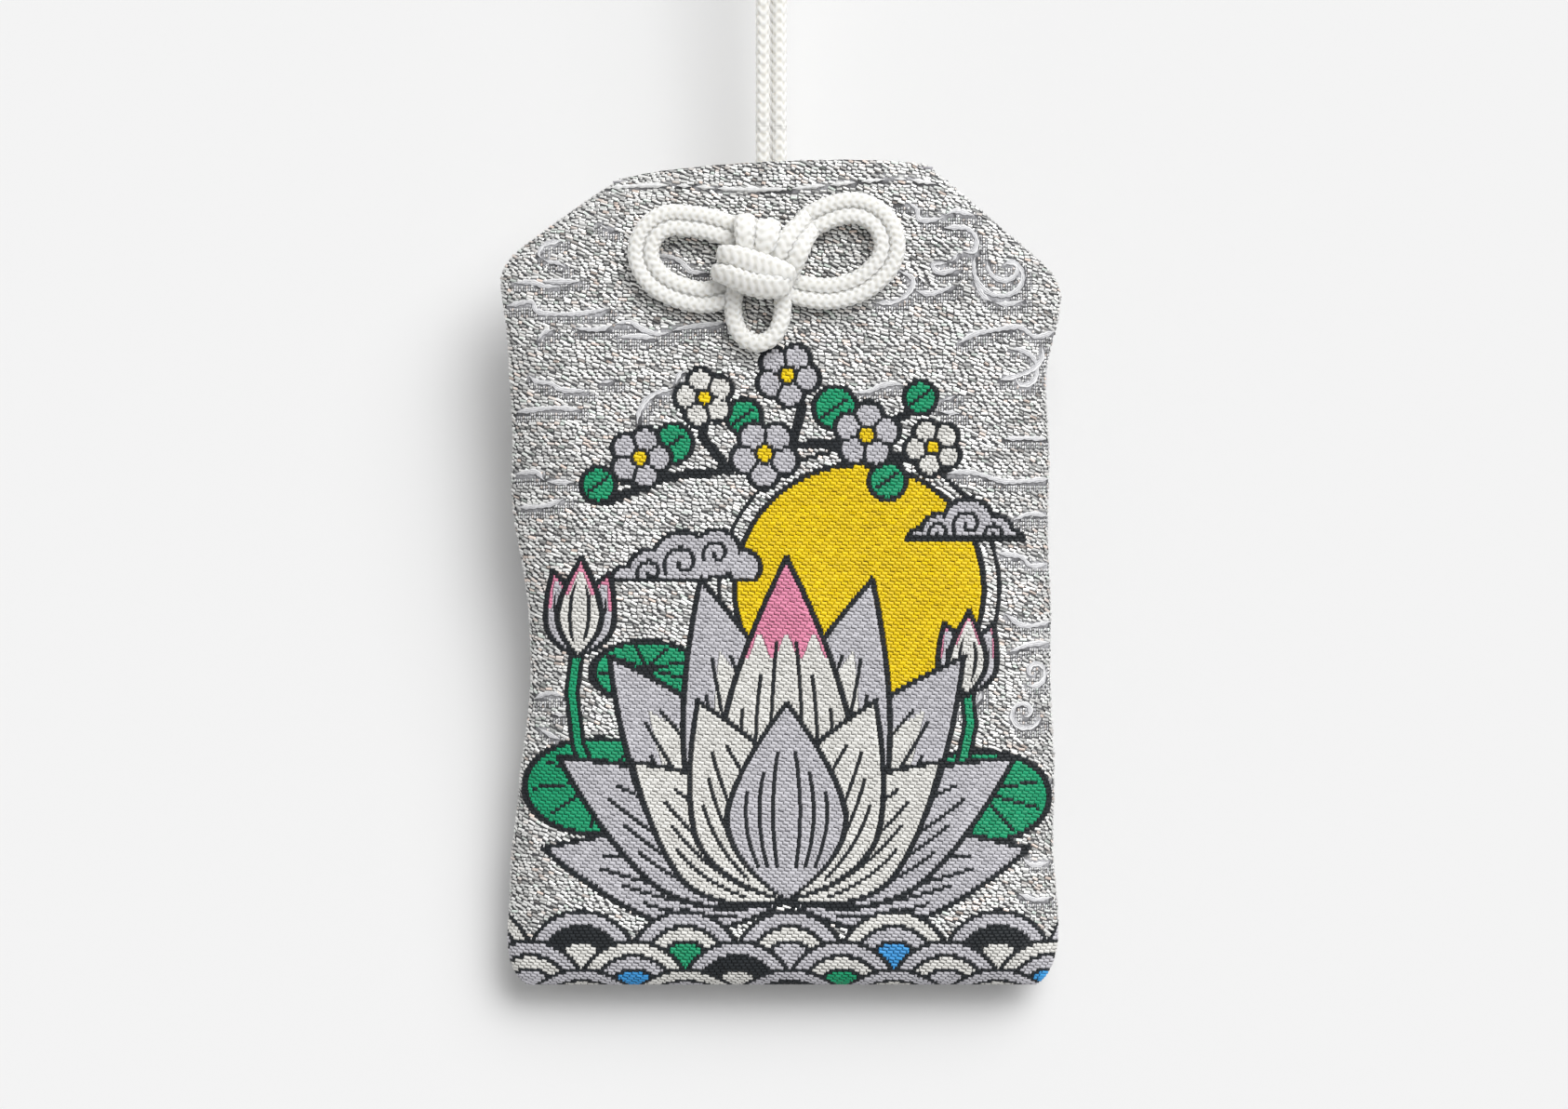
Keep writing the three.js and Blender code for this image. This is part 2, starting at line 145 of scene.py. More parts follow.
backing_fibre = fibrous(
    "backing_fibre", (0.84, 0.82, 0.76), (0.66, 0.64, 0.58), 1600, (0.5, 1, 1), 0.95, 0.8, sheen=0.2,
)
sewing_thread = fibrous(
    "sewing_thread", (0.72, 0.71, 0.74), (0.46, 0.45, 0.48), 2500, (1, 1, 0.6), 0.7, 0.8, sheen=0.2,
)
cloth_reverse = fibrous(
    "cloth_reverse", (0.56, 0.54, 0.60), (0.22, 0.21, 0.24), 2200, (0.35, 1, 1), 0.7, 0.8, sheen=0.1,
)
dress("front_interlining", backing_fibre)
dress("back_interlining", backing_fibre)
dress("seam_thread", sewing_thread)
dress("left_corner_fold", cloth_reverse)
dress("right_corner_fold", cloth_reverse)

# Brocade on the loom: the form of the pouch and the drawing that its threads follow.
# Silver foil yarn makes the ground, pale yarn the drifting clouds, and coloured silk the pond picture.
# The cloth is woven flat in level rows, then folded over a lip at the top and rolled round the sides.

MM = 0.001
POUCH_HEIGHT = 79.6
POUCH_SHIFT = 1.0
LEFT_TOP = 15.9
LEFT_SLANT = 1.21
RIGHT_TOP = 14.3
RIGHT_SLANT = 1.16
TOP_ROUND = 2.6
TOP_TUCK = 0.4
SHOULDER_ROUND = 2.3
EDGE_WAVER = 0.12
LEFT_FLANK = (
    (10.8, 27.3), (19.0, 26.4), (30.0, 26.15), (48.5, 24.25), (60.0, 25.4), (70.0, 26.5), (74.0, 26.55),
)
RIGHT_FLANK = (
    (12.5, 27.2), (21.0, 25.85), (27.0, 25.95), (45.0, 26.1), (54.0, 26.4), (64.0, 26.5), (74.0, 26.8),
)
FOOT_ROUND = 5.0
FOOT_TUCK = 2.5
TOP_Z = -50.0
SEAM_Y = -2.575
MOUTH_CROWN = 1.55
FRONT_CROWN = 2.8
BACK_CROWN = 3.5
CROWN_START = 8.0
CROWN_FULL = 30.0
SIDE_ROLL = 11.5
FOOT_ROLL = 8.0
ROLL_POWER = 2.5
LIP = 0.35
HEM_LINE = np.array([
    (-15.6, 1.45), (-10.0, 2.0), (-4.0, 2.8), (1.0, 2.98), (6.5, 2.57), (12.4, 2.0), (15.9, 2.3),
])
HEM_STEP = 0.16
HEM_GROOVE = 0.04
CORD_BULGE = 0.16
WIDE_RIPPLE = 0.13
SMALL_RIPPLE = 0.07
TOP_LEAN = 0.03
TOP_ARCH = 0.0036
TOP_WAVE_DEPTH = 4.0
TUCK_WIDTH = 0.95
TUCK_STEP = 0.3
SKIN_INSET = 0.1
FRONT = -1
BACK = 1


def ease(value, low, high):
    share = np.clip((value - low) / (high - low), 0, 1)
    return share * share * (3 - 2 * share)


def flank(outline, drop):
    """Half the width below the shoulder, eased from each drop and half width of the outline to the next."""
    width = outline[0][1]
    for (high, before), (low, after) in zip(outline[:-1], outline[1:]):
        width = width + (after - before) * ease(drop, high, low)
    return width


def half_width(left, drop):
    side = np.where(left, flank(LEFT_FLANK, drop), flank(RIGHT_FLANK, drop))
    shoulder = np.where(left, LEFT_TOP + LEFT_SLANT * drop, RIGHT_TOP + RIGHT_SLANT * drop)
    share = np.clip(0.5 + (side - shoulder) / (2 * SHOULDER_ROUND), 0, 1)
    width = side + (shoulder - side) * share - SHOULDER_ROUND * share * (1 - share)
    corner = np.clip((drop - (POUCH_HEIGHT - FOOT_ROUND)) / FOOT_ROUND, 0, 1)
    width = width - FOOT_TUCK * (1 - np.sqrt(1 - corner ** 2))
    width = width - TOP_TUCK * np.clip(1 - drop / TOP_ROUND, 0, 1) ** 2
    return width + EDGE_WAVER * np.sin(drop * 0.42 + np.where(left, 0.4, 2.1)) * ease(drop, 12, 20)


def roll(distance, border):
    """How full the pouch is at a distance from its edge, from flat there to full at the border's width."""
    share = np.clip(1 - distance / border, 0, 1)
    return np.sqrt(1 - share ** ROLL_POWER)


def top_wave(x):
    return TOP_LEAN * (x + 1) - TOP_ARCH * (x - 3) ** 2


def hem_level(x):
    return np.interp(x, HEM_LINE[:, 0], HEM_LINE[:, 1])


def cloth_point(face, across, drop, inset=SKIN_INSET):
    """A point of the cloth, from its share of the half width and its drop below the top edge's fold."""
    across, drop = np.broadcast_arrays(np.asarray(across, float), np.asarray(drop, float))
    level = np.maximum(drop, 0) + LIP
    left = across < 0
    reach = half_width(left, level) - inset
    out = np.abs(across) * reach
    x = POUCH_SHIFT + np.where(left, -out, out)
    crown = FRONT_CROWN if face < 0 else BACK_CROWN
    thick = MOUTH_CROWN + (crown - MOUTH_CROWN) * ease(level, CROWN_START, CROWN_FULL) - inset
    full = roll(reach - out, SIDE_ROLL) * roll(POUCH_HEIGHT - inset - level, FOOT_ROLL)
    ripple = WIDE_RIPPLE * np.sin(x * 0.23 + 1.3) * np.sin(level * 0.17 + 0.4)
    ripple = ripple + SMALL_RIPPLE * np.sin(x * 0.47 - level * 0.29)
    ripple = ripple * ease(level, 4, 14)
    if face < 0:
        # The hemmed lip stands proud of the line below it, the cord pushes it out in the middle, and
        # the edge of the tucked corner shows as a step along the right shoulder
        hem = hem_level(x)
        lip = HEM_STEP * (1 - ease(level, hem - 0.35, hem + 0.1))
        lip = lip - HEM_GROOVE * np.exp(-((level - hem - 0.25) / 0.4) ** 2)
        bulge = CORD_BULGE * np.exp(-((x - 0.1) / 1.1) ** 2) * (1 - ease(level, 2, 4))
        tucked = (1 - ease(reach - out, TUCK_WIDTH - 0.12, TUCK_WIDTH + 0.12)) * np.where(left, 0, 1)
        ripple = ripple + lip + bulge - TUCK_STEP * tucked * (1 - ease(level, 3.5, 7.5))
    turn = np.clip(-drop / LIP, 0, np.pi)
    rounded = LIP * (1 - np.abs(across) ** 10)
    y = SEAM_Y + face * (0.02 + (thick + ripple) * full - rounded * (1 - np.cos(turn)))
    wave = top_wave(x) * np.exp(-level / TOP_WAVE_DEPTH)
    z = TOP_Z - np.maximum(drop, 0) - LIP + rounded * np.sin(turn) + wave
    return np.stack([x, y, z], -1)


ROW = 0.32
COLUMN = 0.08
PAPER_REACH = 31.0
BARE_EDGE = 0.1
BARE_RIM = 0.15
HOLE_DROP = 8.6
HOLE_STRAIGHT = 0.3
HOLE_RADIUS = 1.5
LINE_ROOM = 1.2
FOLD_SHARE = 0.6
STEPS_DOWN = 1600
STEPS_ACROSS = 241
CURL_POINTS = 26
CURL_CLOSE = 0.82
BARE, SILVER, CLOUD, LAVENDER, YELLOW, GREEN, WHITE, BLACK, BLUE, PINK, HAZE = range(-1, 10)


def hole_distance(x, drop):
    return np.hypot(np.maximum(np.abs(x) - HOLE_STRAIGHT, 0), drop - HOLE_DROP) - HOLE_RADIUS


def travelled(lines):
    """How far along its line each point lies, for one line or for rows of them."""
    steps = np.cumsum(np.linalg.norm(np.diff(lines, axis=-2), axis=-1), axis=-1)
    return np.concatenate([np.zeros_like(steps[..., :1]), steps], axis=-1)


def cell_at(places, value):
    """Which row or column of the loom lies at a place."""
    return np.searchsorted(places, value).clip(0, len(places) - 1)


def reach_at(x, drop):
    return half_width(x < 0, drop + LIP) - SKIN_INSET


def set_up_loom(face):
    """One panel's flat cloth: its weft rows, its columns of cells and the colour of each cell on paper."""
    fine = np.linspace(-LIP * np.pi * FOLD_SHARE, POUCH_HEIGHT - LIP - BARE_RIM, STEPS_DOWN)
    travel = travelled(cloth_point(face, 0.0, fine))
    rows = np.arange(ROW / 2, travel[-1], ROW)
    drops = np.interp(rows, travel, fine)
    across = np.sin(np.linspace(-1, 1, STEPS_ACROSS) * np.pi / 2)
    arc = travelled(cloth_point(face, across[None, :], drops[:, None]))
    arc = arc - arc[:, len(across) // 2][:, None]
    columns = np.arange(-PAPER_REACH, PAPER_REACH, COLUMN)
    down = rows - np.interp(0.0, fine, travel)
    inside = (columns > arc[:, :1] + BARE_EDGE) & (columns < arc[:, -1:] - BARE_EDGE)
    hole = hole_distance(columns[None, :] + POUCH_SHIFT, drops[:, None] + LIP) < BARE_RIM
    return {
        "face": face, "drops": drops, "down": down, "across": across, "arc": arc, "columns": columns,
        "paper": np.where(inside & ~hole, SILVER, BARE),
    }


def line_distance(loom, points):
    """How far each cell is from a drawn line, worked out only close to it."""
    columns, down = loom["columns"][None, :], loom["down"][:, None]
    nearest = np.full(loom["paper"].shape, 1e3)
    for (ax, ay), (bx, by) in zip(points[:-1], points[1:]):
        rows = np.flatnonzero(np.abs(loom["down"] - (ay + by) / 2) < abs(ay - by) / 2 + LINE_ROOM)
        cols = np.flatnonzero(np.abs(loom["columns"] - (ax + bx) / 2) < abs(ax - bx) / 2 + LINE_ROOM)
        if not len(rows) or not len(cols) or (ax, ay) == (bx, by):
            continue
        window = np.s_[rows[0]:rows[-1] + 1, cols[0]:cols[-1] + 1]
        px, py = columns[:, window[1]] - ax, down[window[0]] - ay
        dx, dy = bx - ax, by - ay
        share = np.clip((px * dx + py * dy) / (dx * dx + dy * dy), 0, 1)
        nearest[window] = np.minimum(nearest[window], np.hypot(px - share * dx, py - share * dy))
    return nearest


def stroke(loom, points, width, colour, kept_columns=True):
    woven = (loom["paper"] != BARE) & kept_columns
    loom["paper"][woven & (line_distance(loom, points) < width / 2)] = colour


def curl(middle, radius, turns, start, hand):
    """A scroll that winds inwards from the start angle, in degrees."""
    share = np.linspace(0, 1, int(CURL_POINTS * turns) + 2)
    angle = math.radians(start) + hand * share * turns * 2 * np.pi
    reach = radius * (1 - CURL_CLOSE * share)
    return np.stack([middle[0] + reach * np.cos(angle), middle[1] + reach * np.sin(angle)], 1)


def lay_out(loom, points):
    """Places on the flat cloth of points seen square on: across from the middle and down from the top."""
    laid = []
    for x, drop in points:
        row = cell_at(loom["drops"], drop)
        arc = np.interp(np.clip(x / reach_at(x, drop), -1, 1), loom["across"], loom["arc"][row])
        laid.append((float(arc), float(loom["down"][row])))
    return laid


CLOUD_BAND = 0.56
HAZE_BAND = 1.2
HAZE_SIDE = 0.4
HATCH = 0.48
HEM_BAND = 0.4
LEFT_CLOUDS = (
    [(-21.1, 6.8), (-23.0, 7.3), (-23.4, 8.3), (-22.5, 9.0), (-21.5, 9.2), (-20.9, 9.6)],
    [(-25.8, 11.1), (-24.0, 11.1), (-22.9, 11.5), (-21.5, 11.6)],
    [(-23.2, 11.0), (-19.5, 11.1)],
    [(-26.5, 13.4), (-24.0, 13.1), (-23.7, 13.9), (-22.7, 14.2), (-20.9, 14.3), (-19.0, 14.2), (-16.7, 13.8)],
    [(-19.9, 15.7), (-17.7, 15.8), (-14.7, 15.1), (-13.4, 15.8), (-11.7, 16.3), (-9.5, 15.7), (-5.4, 15.2)],
    [(-15.7, 16.6), (-13.7, 16.5), (-12.1, 16.7)],
    [(-23.5, 16.9), (-22.9, 16.1), (-22.0, 15.8)],
    [(-24.3, 20.3), (-23.7, 20.8), (-22.1, 21.1), (-21.3, 21.6), (-18.7, 21.8)],
    [(-17.4, 21.0), (-15.9, 20.8)],
    [(-25.7, 23.8), (-24.0, 23.6), (-21.7, 23.4), (-19.5, 23.6)],
    [
        (-7.2, 20.1), (-9.7, 20.1), (-10.4, 21.6), (-11.5, 21.8), (-12.9, 22.6), (-13.7, 23.9), (-13.7, 25.5),
        (-12.1, 25.9),
    ],
    [(-12.1, 8.5), (-10.5, 8.8), (-9.6, 9.3), (-8.7, 10.2), (-7.2, 10.3)],
    [(-17.7, 5.1), (-16.7, 5.8), (-16.0, 6.1)],
    [(-25.8, 29.8), (-23.6, 29.6), (-22.8, 30.4), (-20.0, 30.6)],
    [(-25.4, 33.0), (-22.6, 32.8), (-21.0, 32.2)],
    [(-23.9, 51.5), (-22.5, 50.9), (-21.0, 51.2), (-19.9, 52.0), (-20.6, 53.0), (-22.0, 52.9)],
    [(-23.4, 54.3), (-22.3, 54.9), (-21.2, 55.4)],
)
RIGHT_CLOUDS = (
    [(10.9, 3.6), (12.1, 3.6), (13.1, 4.3), (13.3, 5.2), (15.3, 5.1), (16.7, 4.3), (18.6, 4.7)],
    [
        (15.7, 6.0), (17.9, 6.0), (18.8, 6.9), (18.6, 8.2), (17.1, 8.4), (16.4, 9.3), (14.6, 9.6),
        (15.1, 10.3), (17.1, 10.0),
    ],
    [(18.6, 11.2), (19.7, 12.8), (21.5, 13.4), (23.4, 13.0)],
    [(13.0, 12.1), (14.2, 12.4), (15.5, 12.1), (16.6, 11.6)],
    [(11.4, 10.2), (12.7, 11.0), (12.3, 12.3), (10.9, 13.2), (9.1, 13.3)],
    [(17.1, 17.2), (18.6, 16.3), (20.6, 15.9), (23.0, 15.6), (24.5, 16.5), (26.6, 15.9)],
    [(25.2, 17.4), (25.2, 18.6), (24.1, 19.8), (22.5, 20.4), (21.1, 20.7)],
    [
        (6.5, 22.0), (8.5, 21.8), (9.6, 21.3), (11.1, 21.1), (12.3, 21.6), (12.6, 22.5), (13.7, 23.0),
        (15.7, 22.7), (16.7, 22.3),
    ],
    [(15.3, 23.8), (17.1, 24.0)],
    [(21.5, 26.4), (23.8, 26.3), (25.6, 26.4)],
    [(14.4, 30.0), (18.0, 29.6), (21.6, 30.5), (26.1, 30.2)],
    [(22.4, 34.2), (24.0, 33.6), (26.0, 33.9)],
    [(20.8, 37.4), (23.2, 37.8), (24.0, 38.6), (26.0, 38.4)],
    [(21.6, 43.3), (23.4, 44.4), (26.1, 44.0)],
    [(22.0, 46.9), (24.0, 46.2), (26.1, 46.0)],
    [(18.9, 59.0), (22.0, 60.0), (26.1, 59.5)],
    [(22.2, 64.9), (24.0, 67.4), (26.1, 67.2)],
    [(22.9, 70.2), (24.6, 70.8), (26.1, 70.6)],
)
front_loom = set_up_loom(FRONT)
back_loom = set_up_loom(BACK)
front_lines = [
    *LEFT_CLOUDS, *RIGHT_CLOUDS,
    curl((21.7, 10.2), 3.4, 0.9, 215, -1), curl((21.8, 9.6), 2.0, 0.8, 190, -1),
    curl((17.5, 50.5), 2.3, 1.4, 160, -1), curl((23.4, 52.8), 1.7, 1.2, 20, 1),
    curl((23.0, 20.2), 2.6, 0.7, 250, 1), curl((24.4, 48.9), 1.4, 1.1, 120, -1),
]
HEM_RAISE = 0.26
hem_points = [(x - POUCH_SHIFT, level - LIP - HEM_RAISE) for x, level in HEM_LINE]
REPEAT_START = (-4.0, 12.0)
REPEAT_WIDTH = 18.0
REPEAT_HEIGHT = 13.5
back_lines = []
for line in range(6):
    for place in range(-1, 2):
        x = REPEAT_START[0] + (place + line % 2 / 2) * REPEAT_WIDTH
        drop = REPEAT_START[1] + line * REPEAT_HEIGHT
        back_lines.append(curl((x, drop), 3.3, 2.1, 200 + 40 * line, 1))
        back_lines.append(curl((x + 5.2, drop + 1.6), 2.2, 1.6, 160, -1))
        for points in LEFT_CLOUDS[3:5] + RIGHT_CLOUDS[5:6] + RIGHT_CLOUDS[10:11]:
            middle = sum(point[0] for point in points) / len(points)
            step = 3.0 + 2.1 * (points[0][1] % 3)
            back_lines.append([(x + (a - middle) * 0.9, drop + step + (b - points[0][1])) for a, b in points])
for loom, lines in ((front_loom, front_lines), (back_loom, back_lines)):
    for points in lines:
        beside_line = [(x + HAZE_SIDE, drop + HAZE_SIDE) for x, drop in points]
        hatched = loom["columns"] % HATCH < HATCH / 2
        stroke(loom, lay_out(loom, beside_line), HAZE_BAND, HAZE, hatched)
    for points in lines:
        stroke(loom, lay_out(loom, points), CLOUD_BAND, CLOUD)
stroke(front_loom, lay_out(front_loom, hem_points), HEM_BAND, CLOUD)

# Pond picture: the drawing of the coloured silk on the front.
# A lotus opens before a low sun, under a flowering spray, with leaves and buds beside it and waves at the
# foot. Each shape is one colour of silk with a fine dark outline, as in figured ribbon.

OUTLINE = 0.46
FINE_LINE = 0.3
SCROLL_LINE = 0.34
PETAL_BELLY = 0.42
PETAL_EDGE = 0.54
VEIN_WIDTH = 0.32
VEIN_INSET = 0.8
LINING_LENGTH = 0.78
LINING_WIDTH = 0.62
BLUSH_START = 0.74
BLUSH_WAVE = 1.2
ACROSS = front_loom["columns"][None, :]
DOWN = front_loom["down"][:, None]
PICTURE = front_loom["paper"]
WOVEN = PICTURE != BARE


def fill(field, colour):
    """Weaves the inside of a field, which is negative there and grows by one a millimetre."""
    PICTURE[WOVEN & (field < 0)] = colour


def outline(field, width):
    PICTURE[WOVEN & (np.abs(field) < width / 2)] = BLACK


def shape(field, colour, edge=OUTLINE):
    fill(field, colour)
    outline(field, edge)


def draw(points, width, colour=BLACK):
    stroke(front_loom, points, width, colour)


def disc(a, b, radius):
    return np.hypot(ACROSS - a, DOWN - b) - radius


def petal(a, b, length, width, angle):
    """A pointed petal that starts at its root and leans from upright by the angle, in degrees."""
    lean = math.radians(angle)
    along = (ACROSS - a) * math.sin(lean) - (DOWN - b) * math.cos(lean)
    aside = (ACROSS - a) * math.cos(lean) + (DOWN - b) * math.sin(lean)
    share = np.clip(along / length, 0, 1)
    foot = 1 - (1 - np.minimum(share / PETAL_BELLY, 1)) ** 2
    tip = 1 - np.maximum((share - PETAL_BELLY) / (1 - PETAL_BELLY), 0) ** 1.5
    profile = width / 2 * foot * tip
    return np.maximum(np.abs(aside) - profile, np.maximum(-along, along - length)), along, aside


def lotus_petal(a, b, length, width, angle, colour, veins, lining=None, tip=None):
    field, along, aside = petal(a, b, length, width, angle)
    fill(field, colour)
    if lining is not None:
        fill(petal(a, b, length * LINING_LENGTH, width * LINING_WIDTH, angle)[0], lining)
    if tip is not None:
        blush = length * BLUSH_START + BLUSH_WAVE * np.cos(aside * 2.4)
        fill(np.maximum(field, blush - along), tip)
    for vein in range(1, veins + 1):
        bend = np.abs(aside) - width * 0.5 * vein / (veins + 1.4) * (1 - (2 * along / length - 0.9) ** 2)
        inside = (field < -VEIN_INSET) & (along > length * 0.16) & (along < length * (0.86 - 0.1 * vein))
        PICTURE[inside & (np.abs(bend) < VEIN_WIDTH / 2)] = BLACK
    outline(field, PETAL_EDGE)


def blossom(a, b, radius, colour, turn):
    """A round flower of five petals with a yellow heart."""
    angles = np.radians(turn + np.arange(5) * 72)
    out = radius * np.stack([np.cos(angles), np.sin(angles)], 1)
    lobes = [disc(a + x * 0.58, b + y * 0.58, radius * 0.46) for x, y in out]
    shape(np.minimum.reduce(lobes + [disc(a, b, radius * 0.5)]), colour)
    for t in angles + math.pi / 5:
        x, y = radius * math.cos(t), radius * math.sin(t)
        draw([(a + x * 0.36, b + y * 0.36), (a + x * 0.66, b + y * 0.66)], FINE_LINE)
    shape(disc(a, b, radius * 0.27), YELLOW, SCROLL_LINE)


SUN = (7.5, 41.0)
SUN_RADIUS = 12.0
SUN_HALO = 1.5
shape(disc(*SUN, SUN_RADIUS + SUN_HALO), SILVER, edge=0.36)
shape(disc(*SUN, SUN_RADIUS), YELLOW, edge=0.5)

for cloud in (
    ((-9.5, 38.5, 3.0), (-6.2, 37.6, 2.3), (-12.6, 39.4, 2.2), (-3.6, 38.9, 1.6), (-15.0, 40.2, 1.4)),
    ((18.0, 34.8, 2.5), (15.2, 35.6, 1.8), (20.6, 35.7, 1.8), (13.3, 36.4, 1.2), (22.4, 36.5, 1.1)),
):
    field = np.minimum.reduce([disc(*lobe) for lobe in cloud])
    main_b, main_radius = cloud[0][1:]
    shape(np.maximum(field, DOWN - main_b - main_radius * 0.55), LAVENDER)
    for a, b, radius in cloud[:3]:
        draw(curl((a, b), radius * 0.62, 1.1, 150, 1), SCROLL_LINE)

BRANCH_WIDTH = 0.9
BRANCHES = (
    [(-16.5, 32.5), (-11, 30.2), (-5, 29.6), (1, 27.2), (7, 27.0), (12, 24.2)],
    [(-5, 29.6), (-7.6, 26.4), (-7.2, 23.2)],
    [(1, 27.2), (2.0, 23.6), (0.8, 20.6)],
    [(7, 27.0), (10.5, 28.6), (14.6, 28.2)],
    [(-11, 30.2), (-14.2, 27.4)],
)
for points in BRANCHES:
    draw(points, BRANCH_WIDTH)
for a, b, radius in (
    (-3.6, 24.4, 1.7), (5.2, 23.6, 2.1), (-10.4, 27.0, 1.9),
    (10.2, 30.6, 1.8), (13.4, 22.6, 1.6), (-17.6, 31.0, 1.7),
):
    shape(disc(a, b, radius), GREEN)
    draw([(a - radius * 0.6, b + radius * 0.4), (a + radius * 0.5, b - radius * 0.4)], FINE_LINE)
for flower in (
    (0.6, 20.4, 3.0, LAVENDER, 10), (-7.4, 22.6, 2.8, WHITE, 40), (-1.6, 28.0, 3.2, LAVENDER, 20),
    (8.2, 26.2, 3.1, LAVENDER, 60), (-13.6, 28.4, 2.9, LAVENDER, 0), (14.6, 27.4, 2.7, WHITE, 30),
):
    blossom(*flower)

LEAVES = ((-17.5, 60.0, 7.6, 4.6), (19.0, 61.0, 7.2, 4.4), (-13.0, 49.0, 5.2, 3.0))
LEAF_RIBS = 9
RIB_REACH = 0.86
for a, b, wide, tall in LEAVES:
    scaled = np.hypot((ACROSS - a) / wide, (DOWN - b) / tall)
    shape((scaled - 1) * tall, GREEN)
    for rib in range(LEAF_RIBS):
        angle = rib * 2 * np.pi / LEAF_RIBS + 0.3
        end = (a + wide * RIB_REACH * math.cos(angle), b + tall * RIB_REACH * math.sin(angle))
        draw([(a, b - tall * 0.12), end], FINE_LINE)

STEM_WIDTH = 1.5
STEMS = (
    [(-13, 52), (-12.6, 56), (-10.8, 61), (-8, 66), (-6.5, 72)],
    [(-19.6, 46.5), (-20.2, 51), (-19.6, 56), (-16.5, 63), (-13, 70)],
    [(17.8, 50), (18.2, 54), (16.8, 61), (13.5, 70)],
)
for points in STEMS:
    draw(points, STEM_WIDTH)
    draw(points, STEM_WIDTH / 2, GREEN)

BUDS = ((-19.6, 47.5, 9.5), (17.8, 51.2, 8.0))
BUD_WIDTH = 0.46
for a, b, length in BUDS:
    for share, angle, colour in ((0.9, -17, LAVENDER), (0.9, 21, LAVENDER), (1.0, 2, WHITE)):
        lotus_petal(a, b, length * share, length * BUD_WIDTH, angle, colour, veins=1, tip=PINK)

LOTUS = (0.5, 71.0)
for angle, length, width in ((-78, 24, 9.5), (78, 24, 9.5), (-58, 26, 11.0), (58, 26, 11.0)):
    lotus_petal(*LOTUS, length, width, angle, LAVENDER, veins=3)
for angle, length, width in ((-36, 29, 12.5), (36, 29, 12.5), (-15, 32, 12.5), (15, 32, 12.5)):
    lotus_petal(*LOTUS, length, width, angle, LAVENDER, veins=3, lining=WHITE)
lotus_petal(*LOTUS, 33, 13.0, 0, WHITE, veins=3, tip=PINK)
for angle, length, width in ((-48, 20, 10.5), (48, 20, 10.5), (-24, 21, 11.0), (24, 21, 11.0), (0, 19, 11.5)):
    lotus_petal(*LOTUS, length, width, angle, WHITE if angle else LAVENDER, veins=3)

WAVE_RADIUS = 5.4
WAVE_TOP = 72.0
WAVE_STEP = 2.9
WAVE_SHIFT = 0.8
WAVE_SPACING = 1.86
WAVE_EDGE = 0.4
RING_SHRINK = 0.27
WAVE_COLOURS = (
    (LAVENDER, WHITE, LAVENDER), (WHITE, LAVENDER, BLUE), (LAVENDER, BLACK, WHITE), (LAVENDER, WHITE, GREEN),
)
for tier in range(5):
    b = WAVE_TOP + tier * WAVE_STEP
    for place in range(-4, 5):
        a = WAVE_SHIFT + (place + (tier % 2) * 0.5) * WAVE_RADIUS * WAVE_SPACING
        for ring, colour in enumerate(WAVE_COLOURS[(place + 7 * tier) % 4]):
            shape(disc(a, b + WAVE_RADIUS, WAVE_RADIUS * (1 - RING_SHRINK * ring)), colour, WAVE_EDGE)

# Brocade base: the plain binding cloth of both panels, under the pattern threads.
# It is a close weave, dark grey under the silver and dyed under each silk, sewn round the sides and foot
# and hemmed at the mouth, with a slit for the cord in the neck of each panel.

BASE_COLUMNS = 110
BASE_ROWS = 170
BASE_THICKNESS = 0.5
BASE_SINK = 0.12
BASE_TINTS = {
    BARE: (0.42, 0.42, 0.43), SILVER: (0.10, 0.10, 0.105), CLOUD: (0.5, 0.5, 0.52),
    LAVENDER: (0.17, 0.165, 0.19), YELLOW: (0.30, 0.18, 0.004), GREEN: (0.004, 0.09, 0.045),
    WHITE: (0.24, 0.23, 0.21), BLACK: (0.012, 0.013, 0.015), BLUE: (0.02, 0.10, 0.24),
    PINK: (0.28, 0.09, 0.14), HAZE: (0.14, 0.14, 0.15),
}
REVERSE_TINT = (0.5, 0.49, 0.53, 1)
LIP_SHARE = 0.04
FOOT_CROWDING = 1.15
HOLE_SNAP = 0.8


